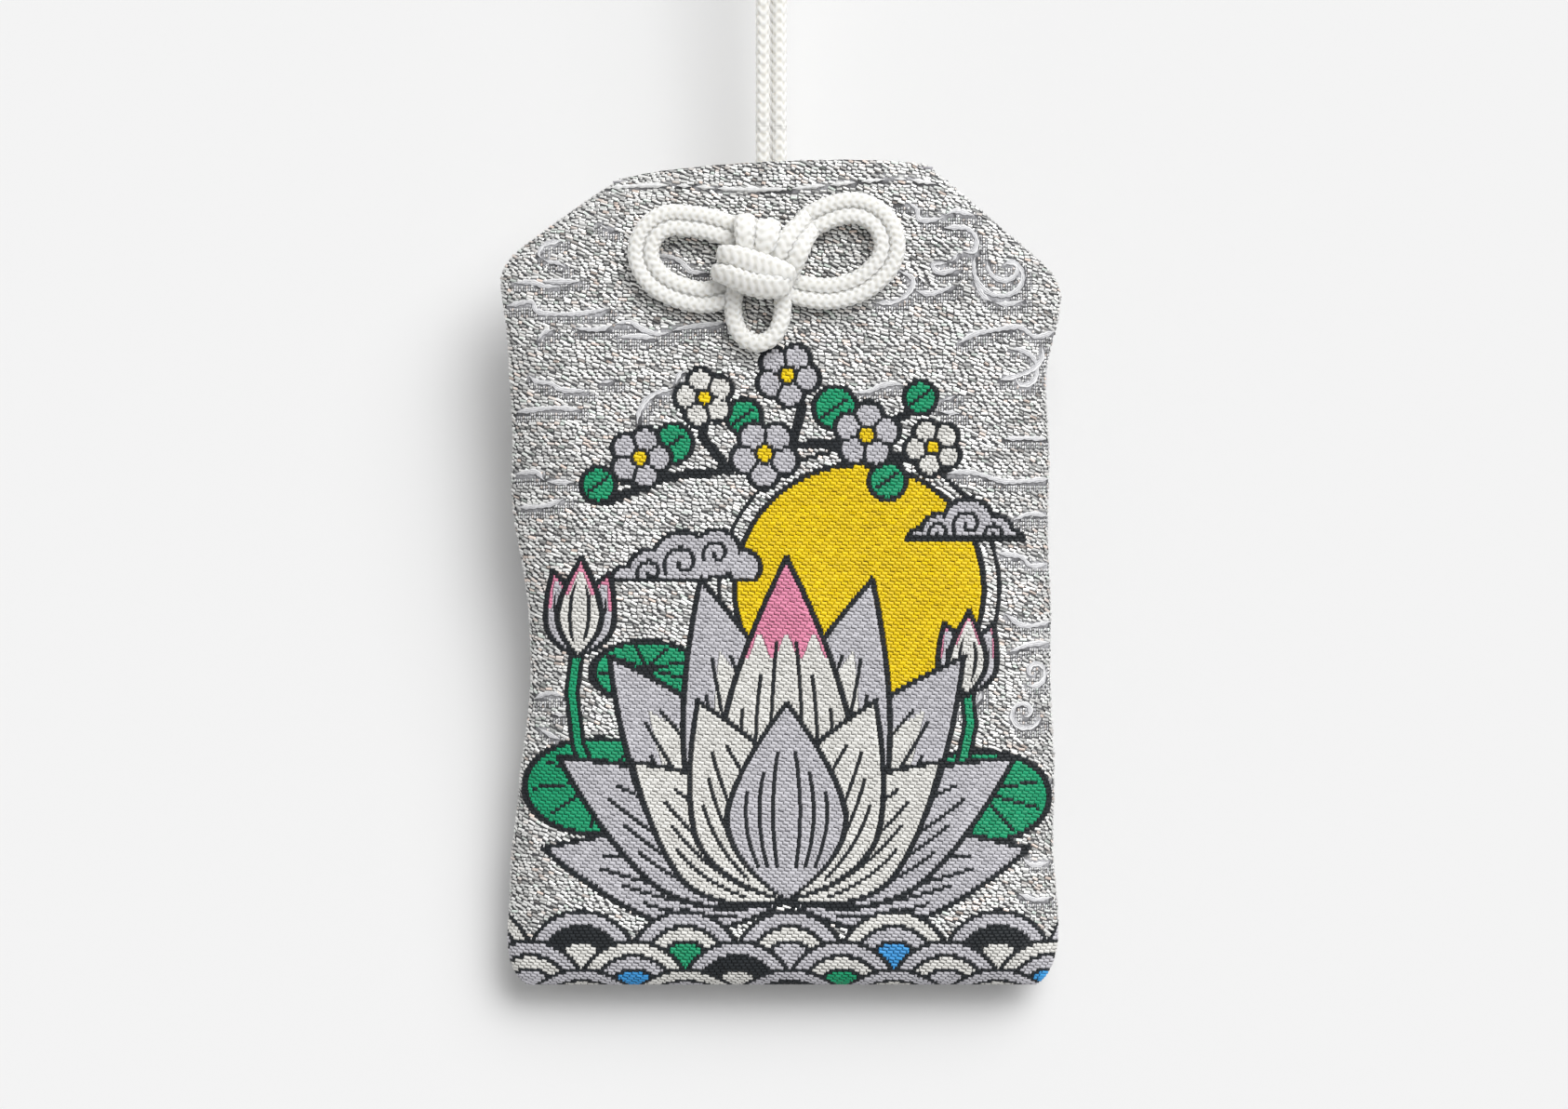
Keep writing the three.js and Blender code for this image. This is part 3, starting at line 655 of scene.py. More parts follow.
def base_cloth(name, loom):
    """A grid bent to the panel's form, tinted from the loom, cut open at the hole and made thick."""
    face = loom["face"]
    bpy.ops.object.select_all(action="DESELECT")
    bpy.ops.mesh.primitive_grid_add(x_subdivisions=BASE_COLUMNS, y_subdivisions=BASE_ROWS, size=2)
    piece = bpy.context.object
    piece.name = name
    mesh = piece.data
    flat = np.empty(len(mesh.vertices) * 3)
    mesh.vertices.foreach_get("co", flat)
    flat = flat.reshape(-1, 3)
    across = np.sin(flat[:, 0] * np.pi / 2) * -face
    lowest = POUCH_HEIGHT - LIP - SKIN_INSET
    depth = (1 - flat[:, 1]) / 2
    over = -LIP * np.pi * (1 - depth / LIP_SHARE)
    left_below = np.clip(1 - (depth - LIP_SHARE) / (1 - LIP_SHARE), 0, 1)
    drop = np.where(depth < LIP_SHARE, over, lowest * (1 - left_below ** FOOT_CROWDING))
    points = cloth_point(face, across, drop, SKIN_INSET + BASE_SINK)
    mesh.vertices.foreach_set("co", (points * MM).ravel())
    row = cell_at(loom["drops"], drop)
    arc = np.array([np.interp(share, loom["across"], loom["arc"][r]) for share, r in zip(across, row)])
    column = cell_at(loom["columns"], arc)
    tints = np.array([BASE_TINTS[colour] for colour in range(-1, 10)])[loom["paper"][row, column] + 1]
    ground = mesh.attributes.new("ground", "FLOAT_COLOR", "POINT")
    ground.data.foreach_set("color", np.concatenate([tints, np.ones((len(tints), 1))], 1).ravel())
    shaped = bmesh.new()
    shaped.from_mesh(mesh)
    in_hole = []
    for part in shaped.faces:
        middle = part.calc_center_median() / MM
        if hole_distance(middle.x, TOP_Z - middle.z) < 0:
            in_hole.append(part)
    bmesh.ops.delete(shaped, geom=in_hole, context="FACES")
    for corner in shaped.verts:
        x, drop = corner.co.x / MM, TOP_Z - corner.co.z / MM
        if corner.is_boundary and abs(hole_distance(x, drop)) < HOLE_SNAP:
            centre_x = float(np.clip(x, -HOLE_STRAIGHT, HOLE_STRAIGHT))
            spread = math.hypot(x - centre_x, drop - HOLE_DROP)
            corner.co.x = (centre_x + (x - centre_x) / spread * HOLE_RADIUS) * MM
            corner.co.z = (TOP_Z - HOLE_DROP - (drop - HOLE_DROP) / spread * HOLE_RADIUS) * MM
    shaped.to_mesh(mesh)
    shaped.free()
    outside = len(mesh.vertices)
    cloth = piece.modifiers.new("cloth", "SOLIDIFY")
    cloth.thickness = BASE_THICKNESS * MM
    cloth.offset = -1
    bpy.ops.object.modifier_apply(modifier="cloth")
    bpy.ops.object.shade_smooth()
    for spot in piece.data.attributes["ground"].data[outside:]:
        spot.color = REVERSE_TINT
    return piece


def make_binding_weave():
    finish, shader = new_finish("binding_weave", 0.6, specular=0.3)
    tree = finish.node_tree
    ground = new_node(tree, "ShaderNodeAttribute", attribute_name="ground")
    look = {"Pale": (1.25, 1.25, 1.25, 1), "Deep": (0.6, 0.6, 0.6, 1), "Scale": 4000, "Stretch": (1, 1, 0.4)}
    grain = new_node(tree, "ShaderNodeGroup", look, node_tree=fibre_group)
    tinted = new_node(tree, "ShaderNodeMix", {"Factor": 1.0}, data_type="RGBA", blend_type="MULTIPLY")
    wire(tree, (ground, "Color", tinted, "A"), (grain, "Color", tinted, "B"))
    wire(tree, (tinted, "Result", shader, "Base Color"))
    emboss(tree, shader, grain, "Height", 0.6, FIBRE_RELIEF)
    return finish


binding_weave = make_binding_weave()
front_cloth = base_cloth("front_cloth", front_loom)
back_cloth = base_cloth("back_cloth", back_loom)
for piece, node in ((front_cloth, "front_panel"), (back_cloth, "back_panel")):
    piece.data.materials.append(binding_weave)
    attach(piece, "pouch")
    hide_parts(node)

# Pattern threads: every float of yarn that shows on the brocade, bound down at its ends row by row.
# Silver floats are flat foil wound on a core and glint at odd angles; silk floats lie in a slanting twill.
# Cloud lines and the hem's line are low ribs of pale yarn, with hatched dull floats beside the clouds.

THREAD_SINK = 0.03
FLOAT_GAP = 0.07
SILVER_CUT = (0.4, 0.86)
SHORTEST_FLOAT = 0.22
LEAST_STITCH = 0.12
ROUTE_STEPS = 24
NUDGE_ACROSS = 0.001
NUDGE_DOWN = 0.03
FLOAT_STOP = 0.9985
ROW_STRAY = 0.003
TURN_STRAY = 0.6
WIDTH_STRAY = (0.9, 1.1)
RISE_STRAY = (0.85, 1.15)
RIDGE_SLOPE = 0.42
RIDGE_LEAST = 0.16
# Painted shade across each float's roof: its feet darker, its ridge lighter.
PAINTED_RIDGE_SHADING = np.array([0.92, 0.92, 0.86, 0.86, 1.0, 1.0])
FLOAT_FACES = np.array([3, 2, 5, 4, 4, 5, 1, 0, 0, 1, 2, 3, 0, 3, 4, 2, 1, 5])
FLOAT_STARTS = np.array([0, 4, 8, 12, 15])
FLOAT_MAP = np.array([(0.1, 0.9), (0.9, 0.9), (0.9, 0.1), (0.1, 0.1), (0.3, 0.5), (0.7, 0.5)])
SILK_LENGTH = 0.64
SILK_STEP = 0.42
CUTS = {BLACK: (0.56, 0.2), HAZE: (0.36, 0.18)}
chance = np.random.default_rng(11)


def float_ends(colour, row, left, right):
    """Where the floats of one run begin and end."""
    if colour == SILVER:
        ends = [left]
        while ends[-1] < right:
            ends.append(ends[-1] + chance.uniform(*SILVER_CUT))
        ends[-1] = right
    else:
        length, step = CUTS.get(colour, (SILK_LENGTH, SILK_STEP))
        first = left - (left - step * row) % length + length
        ends = [left, *np.arange(first, right, length), right]
    if len(ends) > 2 and ends[1] - ends[0] < SHORTEST_FLOAT:
        ends.pop(1)
    if len(ends) > 2 and ends[-1] - ends[-2] < SHORTEST_FLOAT:
        ends.pop(-2)
    return ends


def weave(loom):
    """The floats of each colour as rows of: weft row, place across, length."""
    floats = {colour: [] for colour in range(10)}
    columns = loom["columns"]
    for row, cells in enumerate(loom["paper"]):
        edges = [0, *(np.flatnonzero(np.diff(cells)) + 1), len(cells)]
        for start, stop in zip(edges[:-1], edges[1:]):
            colour = int(cells[start])
            if colour in (BARE, CLOUD):
                continue
            ends = float_ends(colour, row, columns[start] - COLUMN / 2, columns[stop - 1] + COLUMN / 2)
            for left, right in zip(ends[:-1], ends[1:]):
                floats[colour].append((row, (left + right) / 2, right - left))
    return {colour: np.array(found) for colour, found in floats.items() if found}


def unit(vectors):
    return vectors / np.linalg.norm(vectors, axis=-1, keepdims=True)


def paint(mesh, name, values):
    """Keeps one value for each point of a mesh, for its material to read."""
    mesh.attributes.new(name, "FLOAT", "POINT").data.foreach_set("value", values)


def cloth_frame(face, across, drop):
    """Points of the cloth, and there the directions along the weft, down the warp and out."""
    along = cloth_point(face, across + NUDGE_ACROSS, drop) - cloth_point(face, across - NUDGE_ACROSS, drop)
    along = unit(along * -face)
    down = cloth_point(face, across, drop + NUDGE_DOWN) - cloth_point(face, across, drop - NUDGE_DOWN)
    down = unit(down - along * (along * down).sum(1)[:, None])
    return cloth_point(face, across, drop), along, down, np.cross(down, along)


def put_in_scene(name, data):
    placed = bpy.data.objects.new(name, data)
    bpy.context.collection.objects.link(placed)
    return placed


def finished(name, mesh, finish):
    """The mesh as a piece of the scene, in one finish and slot."""
    mesh.materials.append(finish)
    mesh.update()
    piece = put_in_scene(name, mesh)
    return piece


def lay_floats(name, loom, floats, width, rise, slant, tilt, tones, finish):
    """Short roof-shaped stitches, one for each float, that lean and turn a little by chance."""
    count = len(floats)
    row = floats[:, 0].astype(int)
    across = np.array([np.interp(a, loom["arc"][r], loom["across"]) for r, a in zip(row, floats[:, 1])])
    across = np.clip(across, -FLOAT_STOP, FLOAT_STOP)
    centre, along, down, out = cloth_frame(loom["face"], across, loom["drops"][row])
    centre += down * chance.normal(0, tilt * ROW_STRAY, count)[:, None]
    turn = np.radians(slant + chance.normal(0, tilt * TURN_STRAY, count))[:, None]
    along, down = along * np.cos(turn) + down * np.sin(turn), down * np.cos(turn) - along * np.sin(turn)
    lean = np.radians(chance.normal(0, tilt, count))[:, None]
    down, out = down * np.cos(lean) + out * np.sin(lean), out * np.cos(lean) - down * np.sin(lean)
    long = (floats[:, 2] - FLOAT_GAP).clip(LEAST_STITCH)
    wide = width * chance.uniform(*WIDTH_STRAY, count)
    half_along = along * (long / 2)[:, None]
    half_down = down * (wide / 2)[:, None]
    ridge = along * np.maximum(long / 2 - wide * RIDGE_SLOPE, long * RIDGE_LEAST)[:, None]
    foot = centre - out * THREAD_SINK
    top = centre + out * (rise * chance.uniform(*RISE_STRAY, count))[:, None]
    corners = np.stack([
        foot - half_along - half_down, foot + half_along - half_down, foot + half_along + half_down,
        foot - half_along + half_down, top - ridge, top + ridge,
    ], 1)
    low, high, lean_bright = tones
    tone = low + (high - low) * chance.random(count) ** lean_bright
    # Each float's tone times its painted shade, darker at the feet and lighter along the ridge.
    tone_and_painted_shade = tone[:, None] * PAINTED_RIDGE_SHADING
    mesh = bpy.data.meshes.new(name)
    mesh.vertices.add(count * 6)
    mesh.vertices.foreach_set("co", (corners * MM).ravel())
    mesh.loops.add(count * 18)
    mesh.loops.foreach_set("vertex_index", (np.arange(count)[:, None] * 6 + FLOAT_FACES).ravel())
    mesh.polygons.add(count * 5)
    mesh.polygons.foreach_set("loop_start", (np.arange(count)[:, None] * 18 + FLOAT_STARTS).ravel())
    mesh.polygons.foreach_set("use_smooth", np.zeros(count * 5, bool))
    mesh.update(calc_edges=True)
    paint(mesh, "tone", tone_and_painted_shade.ravel())
    # A random glint value for each stitch; the strongest get a painted warm or cool tint as coloured glints.
    paint(mesh, "glint", np.repeat(chance.normal(0, 1, count), 6))
    cells = int(math.ceil(math.sqrt(count)))
    cell = np.stack([np.arange(count) % cells, np.arange(count) // cells], 1)
    spots = (cell[:, None, :] + FLOAT_MAP[FLOAT_FACES][None, :, :]) / cells
    mesh.uv_layers.new(name="OFBake").data.foreach_set("uv", spots.ravel())
    piece = finished(name, mesh, finish)
    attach(piece, "pouch")
    return piece


def between(t, start, end, before, after):
    """What goes from before to after while t goes from start to end."""
    return (end - t) / (end - start) * before + (t - start) / (end - start) * after


def smooth_route(points, spacing):
    """Even points on a centripetal Catmull-Rom curve; a fourth value is how wide a cord is pressed."""
    knots = np.array([(*point, 1.0)[:4] for point in points], float)
    knots = np.concatenate([[2 * knots[0] - knots[1]], knots, [2 * knots[-1] - knots[-2]]])
    line = []
    for p0, p1, p2, p3 in zip(knots[:-3], knots[1:-2], knots[2:-1], knots[3:]):
        t1 = np.linalg.norm((p1 - p0)[:3]) ** 0.5
        t2 = t1 + np.linalg.norm((p2 - p1)[:3]) ** 0.5
        t3 = t2 + np.linalg.norm((p3 - p2)[:3]) ** 0.5
        t = np.linspace(t1, t2, ROUTE_STEPS, endpoint=False)[:, None]
        a1 = between(t, 0, t1, p0, p1)
        a2 = between(t, t1, t2, p1, p2)
        a3 = between(t, t2, t3, p2, p3)
        b1 = between(t, 0, t2, a1, a2)
        b2 = between(t, t1, t3, a2, a3)
        line.append(between(t, t1, t2, b1, b2))
    line = np.concatenate([*line, knots[-2:-1]])
    travel = travelled(line[:, :3])
    even = np.linspace(0, travel[-1], int(round(travel[-1] / spacing)) + 1)
    return np.stack([np.interp(even, travel, line[:, axis]) for axis in range(4)], 1)


def tube_walls(count, sides):
    """Four corners of each face between the rings of a tube, ring by ring."""
    here = np.arange(sides)
    there = (here + 1) % sides
    ring = (np.arange(count - 1) * sides)[:, None]
    return np.stack([ring + here, ring + there, ring + sides + there, ring + sides + here], -1).reshape(-1, 4)


RIB_STEP = 0.16
RIB_WIDTH = 0.1
RIB_HEIGHT = 0.05
RIB_FLOAT = 1.3
RIB_TAPER = 0.8
RIB_LEAST = 6
RIB_STOP = 0.995
RIB_SHAPE = np.array([(-1, -2.3), (-0.8, 0.5), (0, 1), (0.8, 0.5), (1, -2.3)])
CLOUD_RIBS = ((-0.13, 1.0, 1.0), (0.03, 0.9, 0.6), (0.17, 0.8, 0.2))
BACK_RIBS = ((-0.09, 1.1, 1.0), (0.1, 0.9, 0.4))
HEM_RIBS = ((0.0, 2.6, 1.0),)


def lay_ribs(name, loom, lines, ribs, finish):
    """Low ribs side by side along each line where its cells show; each has a place aside, size and tone."""
    corners, faces, tones = [], [], []
    for points in lines:
        line = smooth_route([(x, drop, 0) for x, drop in points], RIB_STEP)[:, :2]
        laid = np.array(lay_out(loom, line))
        cells = loom["paper"][cell_at(loom["down"], laid[:, 1]), cell_at(loom["columns"], laid[:, 0])]
        inside = (laid[:, 1] > loom["down"][0]) & (laid[:, 1] < loom["down"][-1])
        shown = (cells == CLOUD) & inside
        for run in np.split(np.arange(len(line)), np.flatnonzero(np.diff(shown.astype(int))) + 1):
            if not shown[run[0]] or len(run) < RIB_LEAST:
                continue
            x, drop = line[run].T
            across = np.clip(x / reach_at(x, drop), -RIB_STOP, RIB_STOP)
            middle, *_, out = cloth_frame(loom["face"], across, drop)
            aside = unit(np.cross(np.gradient(middle, axis=0), out))
            travel = np.arange(len(run)) * RIB_STEP
            waver = 1 + 0.2 * np.sin(travel * 1.7 + drop[0]) + 0.18 * np.sin(travel * 8.3 + drop[0])
            taper = np.clip(np.minimum(travel, travel[::-1]) / RIB_TAPER, 0.2, 1) * waver
            sides, count = len(RIB_SHAPE), len(run)
            for place, size, tone in ribs:
                bound = 0.5 + 0.5 * np.abs(np.sin(np.pi * (travel / RIB_FLOAT + place * 2))) ** 0.4
                thick = (size * taper * bound)[:, None]
                spread = place * taper[:, None] + RIB_SHAPE[:, 0] * RIB_WIDTH * thick
                height = RIB_SHAPE[:, 1] * RIB_HEIGHT * thick
                first = sum(len(part) for part in corners)
                rings = aside[:, None, :] * spread[:, :, None] + out[:, None, :] * height[:, :, None]
                corners.append((middle[:, None, :] + rings).reshape(-1, 3))
                tones.append(np.repeat(tone + 0.16 * np.sin(travel * 15 + place * 9), sides))
                faces.extend((first + tube_walls(count, sides)[:, [0, 3, 2, 1]]).tolist())
                faces.append(tuple(first + here for here in range(sides)))
                faces.append(tuple(first + (count - 1) * sides + here for here in reversed(range(sides))))
    mesh = bpy.data.meshes.new(name)
    mesh.from_pydata((np.concatenate(corners) * MM).tolist(), [], faces)
    mesh.polygons.foreach_set("use_smooth", np.zeros(len(mesh.polygons), bool))
    paint(mesh, "tone", np.concatenate(tones))
    piece = finished(name, mesh, finish)
    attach(piece, "pouch")
    return piece


def make_thread_group():
    inputs = {"Deep": "Color", "Bright": "Color", "Warm Glint": "Color", "Cool Glint": "Color"}
    group, given, result = new_group("thread_tone", inputs, {"Color": "Color", "Height": "Float"})
    tone = new_node(group, "ShaderNodeAttribute", attribute_name="tone")
    glint = new_node(group, "ShaderNodeAttribute", attribute_name="glint")
    # Deep to bright by the tone attribute, which on the floats carries painted shade.
    tone_and_painted_shade = new_node(group, "ShaderNodeMix", data_type="RGBA")
    wire(group, (tone, "Fac", tone_and_painted_shade, "Factor"), (given, "Deep", tone_and_painted_shade, "A"), (given, "Bright", tone_and_painted_shade, "B"))
    # Painted coloured glints: stitches with a strong glint value are tinted warm or cool.
    for tint, sign in (("Warm Glint", 1), ("Cool Glint", -1)):
        share = new_node(group, "ShaderNodeMapRange", {"From Min": 0.9 * sign, "From Max": 2.2 * sign})
        tinted = new_node(group, "ShaderNodeMix", data_type="RGBA", blend_type="MULTIPLY")
        wire(group, (glint, "Fac", share, "Value"), (share, "Result", tinted, "Factor"))
        wire(group, (tone_and_painted_shade, "Result", tinted, "A"), (given, tint, tinted, "B"))
        tone_and_painted_shade = tinted
    place = new_node(group, "ShaderNodeTexCoord")
    fibres = new_node(group, "ShaderNodeTexNoise", {"Scale": 9000.0, "Detail": 2.0})
    wire(group, (place, "Object", fibres, "Vector"))
    wire(group, (tone_and_painted_shade, "Result", result, "Color"), (fibres, "Fac", result, "Height"))
    return group


thread_group = make_thread_group()
PLAIN = (1, 1, 1)
YARN_RELIEF = 0.00003


def yarn(name, deep, bright, roughness, metallic=0.0, sheen=0.0, specular=0.5, warm=PLAIN, cool=PLAIN):
    """A thread's finish, from deep to bright by each stitch's tone, with a painted tint for those that glint.
    """
    finish, shader = new_finish(name, roughness, metallic, sheen, specular)
    tree = finish.node_tree
    look = {"Deep": (*deep, 1), "Bright": (*bright, 1), "Warm Glint": (*warm, 1), "Cool Glint": (*cool, 1)}
    tone = new_node(tree, "ShaderNodeGroup", look, node_tree=thread_group)
    wire(tree, (tone, "Color", shader, "Base Color"))
    emboss(tree, shader, tone, "Height", 0.25, YARN_RELIEF)
    return finish


# Silver runs from near black to near white, so its spread of tones paints the foil's glints and dark
# reflections.
silver_yarn = yarn(
    "silver_foil_yarn", (0.03, 0.03, 0.03), (0.97, 0.97, 0.95), 0.34, metallic=0.4,
    warm=(1.0, 0.84, 0.76), cool=(0.88, 0.97, 0.92),
)
cloud_yarn = yarn("cloud_yarn", (0.5, 0.5, 0.52), (0.86, 0.86, 0.87), 0.45, sheen=0.1)
hem_yarn = yarn("hem_yarn", (0.7, 0.7, 0.7), (0.88, 0.88, 0.88), 0.45, sheen=0.1)
haze_yarn = yarn("haze_yarn", (0.16, 0.16, 0.17), (0.86, 0.86, 0.88), 0.4)
SILKS = {
    LAVENDER: ("lavender_silk", (0.17, 0.168, 0.182), (0.65, 0.64, 0.68)),
    YELLOW: ("yellow_silk", (0.40, 0.26, 0.002), (0.98, 0.70, 0.004)),
    GREEN: ("green_silk", (0.002, 0.08, 0.035), (0.014, 0.39, 0.18)),
    WHITE: ("white_silk", (0.30, 0.29, 0.27), (0.88, 0.87, 0.83)),
    BLACK: ("black_silk", (0.006, 0.007, 0.008), (0.026, 0.030, 0.034)),
    BLUE: ("blue_silk", (0.02, 0.12, 0.30), (0.06, 0.38, 0.82)),
    PINK: ("pink_silk", (0.34, 0.10, 0.17), (0.87, 0.30, 0.46)),
}

# The silver's tones lean bright with a few near black: painted glints and dark reflections of the foil.
SILVER_FLOAT = {
    "width": 0.245, "rise": 0.02, "slant": 19, "tilt": 14, "tones": (0.08, 1.0, 0.4), "finish": silver_yarn,
}
HAZE_FLOAT = {
    "width": 0.25, "rise": 0.02, "slant": 0, "tilt": 8, "tones": (0.1, 1.0, 0.7), "finish": haze_yarn,
}
SILK_FLOAT = {"width": 0.31, "rise": 0.05, "tilt": 4, "tones": (0.7, 1.0, 1.0)}
TWILL_SLANT = 11
front_floats = weave(front_loom)
back_floats = weave(back_loom)
front_threads = [
    lay_floats("front_silver_threads", front_loom, front_floats[SILVER], **SILVER_FLOAT),
    lay_floats("front_haze_threads", front_loom, front_floats[HAZE], **HAZE_FLOAT),
    lay_ribs("front_cloud_lines", front_loom, front_lines, CLOUD_RIBS, cloud_yarn),
    lay_ribs("hem_line", front_loom, [hem_points], HEM_RIBS, hem_yarn),
]
for colour, (name, deep, bright) in SILKS.items():
    finish = yarn(name, deep, bright, 0.42, specular=0.12 if colour == BLACK else 0.22)
    slant = 0 if colour == BLACK else TWILL_SLANT
    stitches = lay_floats(
        name + "_threads", front_loom, front_floats[colour], slant=slant, finish=finish, **SILK_FLOAT,
    )
    front_threads.append(stitches)
back_silver = back_floats[SILVER]
upper = back_silver[:, 0] < len(back_loom["drops"]) / 2
back_threads = [
    lay_floats("back_silver_threads_upper", back_loom, back_silver[upper], **SILVER_FLOAT),
    lay_floats("back_silver_threads_lower", back_loom, back_silver[~upper], **SILVER_FLOAT),
    lay_floats("back_haze_threads", back_loom, back_floats[HAZE], **HAZE_FLOAT),
    lay_ribs("back_cloud_lines", back_loom, back_lines, BACK_RIBS, cloud_yarn),
]

# Cord: one white polyester cord, braided round, that ties the neck shut and carries the pouch.
# Its two strands hang side by side from the loop over the hook, run down the back through the neck holes,
# and are tied on the front in a doubled knot with two ears and a small loop, pulled tight and flat.

CORD_RADIUS = 0.77
BRAID_COLUMNS = 10
BRAID_SIDES = 60
BRAID_RING = 0.095
BRAID_PITCH = 0.76
HUNG_PITCH = 0.95
PIT_DEPTH = 0.15
PIT_LENGTH = 0.25
PIT_WIDTH = 0.3
CREASE = 0.55
BRAID_FUZZ = 0.00004
INNER_LIGHT = 0.85
FADE_RINGS = 8
EAR_PLANE = -5.449
KNOT_X = -0.8
KNOT_Z = -59.3
HOLE_Z = TOP_Z - HOLE_DROP
STRAND = 0.775
EAR_STRAND = 0.735
EAR_PRESS = 1.08
ROUNDNESS = 0.74
FLATTENING = 0.2


def braid(name, route, finish, first=0, last=None, pitch=BRAID_PITCH):
    """A closed braided tube along a route, or along the rings of it from first to last."""
    centre, wide = route[:, :3], route[:, 3]
    ahead = unit(np.gradient(centre, axis=0))
    side = np.zeros_like(centre)
    start = np.cross(ahead[0], (0.0, 1.0, 0.0))
    if np.linalg.norm(start) < 0.2:
        start = np.cross(ahead[0], (1.0, 0.0, 0.0))
    side[0] = unit(start)
    for ring in range(1, len(centre)):
        side[ring] = unit(side[ring - 1] - ahead[ring] * (side[ring - 1] @ ahead[ring]))
    over = np.cross(ahead, side)
    travel = np.arange(len(centre)) * BRAID_RING
    angle = (np.arange(BRAID_SIDES) + 0.5) / BRAID_SIDES * 2 * np.pi
    column = angle / (2 * np.pi) * BRAID_COLUMNS
    index = np.floor(column)
    aside = column - index
    pits = 0
    for near in (0, 1):
        along = travel[:, None] / pitch + ((index + near) % 2) * 0.5
        away = ((along - np.round(along)) / PIT_LENGTH) ** 2 + ((aside - near) / PIT_WIDTH) ** 2
        pits = pits + np.exp(-away)
    odd = index % 2
    edge = travel[:, None] / pitch + odd * 0.5 + aside * (0.5 - odd)
    crease = CREASE * (1 - np.abs(np.sin(np.pi * edge)))
    relief = 1 - np.clip(pits + crease, 0, 1)
    reach = (CORD_RADIUS - PIT_DEPTH * (1 - relief))[:, :, None]
    breadth, height = (np.sign(way) * np.abs(way) ** ROUNDNESS for way in (np.cos(angle), np.sin(angle)))
    across = (breadth * wide[:, None])[:, :, None] * side[:, None, :]
    rise = (height * (1 + FLATTENING * (1 - wide[:, None])))[:, :, None] * over[:, None, :]
    rings = centre[:, None, :] + reach * (across + rise)
    rings, relief, middle = rings[first:last], relief[first:last], centre[first:last]
    count = len(rings)
    points = np.concatenate([rings.reshape(-1, 3), middle[:1], middle[-1:]])
    walls = tube_walls(count, BRAID_SIDES).tolist()
    final = (count - 1) * BRAID_SIDES
    pairs = [(here, (here + 1) % BRAID_SIDES) for here in range(BRAID_SIDES)]
    caps = [(count * BRAID_SIDES, b, a) for a, b in pairs]
    caps += [(count * BRAID_SIDES + 1, final + a, final + b) for a, b in pairs]
    mesh = bpy.data.meshes.new(name)
    mesh.from_pydata((points * MM).tolist(), [], walls + caps)
    mesh.polygons.foreach_set("use_smooth", np.arange(len(mesh.polygons)) < len(walls))
    # The relief also sets the colour: pits and creases get painted shade from the darker colour.
    paint(mesh, "relief", [*relief.ravel(), 0.5, 0.5])
    from_end = np.minimum(np.arange(count), count - 1 - np.arange(count))
    lit = np.repeat(INNER_LIGHT * np.clip(from_end / FADE_RINGS, 0, 1), BRAID_SIDES)
    paint(mesh, "inner_light", [*lit, 0, 0])
    return finished(name, mesh, finish)


def make_cord_braid():
    finish, shader = new_finish("white_braid", 0.6, sheen=0.1, specular=0.3)
    tree = finish.node_tree
    relief = new_node(tree, "ShaderNodeAttribute", attribute_name="relief")
    # Colour A, in the pits and creases, is painted shade; colour B is the yarn's own white.
    tones = {"A": (0.77, 0.76, 0.72, 1), "B": (0.88, 0.875, 0.845, 1)}
    tone_and_painted_shade = new_node(tree, "ShaderNodeMix", tones, data_type="RGBA")
    inner_light = new_node(tree, "ShaderNodeAttribute", attribute_name="inner_light")
    shader.inputs["Subsurface Radius"].default_value = (1.0, 0.97, 0.92)
    shader.inputs["Subsurface Scale"].default_value = 0.001
    place = new_node(tree, "ShaderNodeTexCoord")
    fibres = new_node(tree, "ShaderNodeTexNoise", {"Scale": 7000.0, "Detail": 3.0})
    wire(tree, (relief, "Fac", tone_and_painted_shade, "Factor"), (tone_and_painted_shade, "Result", shader, "Base Color"))
    wire(tree, (inner_light, "Fac", shader, "Subsurface Weight"), (place, "Object", fibres, "Vector"))
    emboss(tree, shader, fibres, "Fac", 0.3, BRAID_FUZZ)
    return finish


white_braid = make_cord_braid()

LOOP_HALF = [
    (0, 0.725), (1.25, 0.42), (2.3, -0.4), (2.9, -1.7), (3, -3.2), (2.75, -5.2), (2.2, -7.8), (1.6, -10.8),
    (1.15, -14), (0.88, -17.5), (0.775, -22), (0.775, -28), (0.775, -34), (0.775, -40), (0.775, -46.35),
]
TAIL_HALF = [
    (0, TOP_Z - 0.35), (0, HOLE_Z + 5.4), (0, HOLE_Z + 3), (-0.08, HOLE_Z + 1.75), (-0.5, HOLE_Z + 0.7),
    (-1.4, HOLE_Z + 0.1), (-2.5, HOLE_Z), (EAR_PLANE + 0.3, HOLE_Z),
]
right_half = [(x, 0, z) for x, z in LOOP_HALF] + [(STRAND, y, z) for y, z in TAIL_HALF]
left_half = [(-x, y, z) for x, y, z in right_half[:0:-1]]
carrying_line = smooth_route(left_half + right_half, BRAID_RING)
hung = np.flatnonzero(carrying_line[:, 2] > LOOP_HALF[-1][1])
left_end, right_end = int(hung[0]), int(hung[-1])
hanging_cord = braid("hanging_cord", carrying_line, white_braid, left_end, right_end + 1, HUNG_PITCH)
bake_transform(hanging_cord)
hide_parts("hanging_loop")

for side, first, last in (("left", 0, left_end + 1), ("right", right_end, None)):
    piece = braid(f"neck_cord_{side}", carrying_line, white_braid, first, last, HUNG_PITCH)
    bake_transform(piece)
    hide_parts(f"neck_strand_{side}", f"tail_strand_{side}")


def in_knot(points):
    """Points given as x, out from the ears' plane, and z from the knot's middle; some have a width too."""
    return [(KNOT_X + x, EAR_PLANE + out, KNOT_Z + z, *width) for x, out, z, *width in points]


def beside(route, offset):
    """A strand of an ear: its middle line moved aside in the ears' plane."""
    middle = smooth_route([(x, 0, z) for x, z in route], BRAID_RING)[:, :3]
    picked = middle[np.linspace(0, len(middle) - 1, 21).astype(int)]
    ahead = unit(np.gradient(picked, axis=0))
    return [(x - offset * t[2], 0, z + offset * t[0], EAR_PRESS) for (x, _, z), t in zip(picked, ahead)]


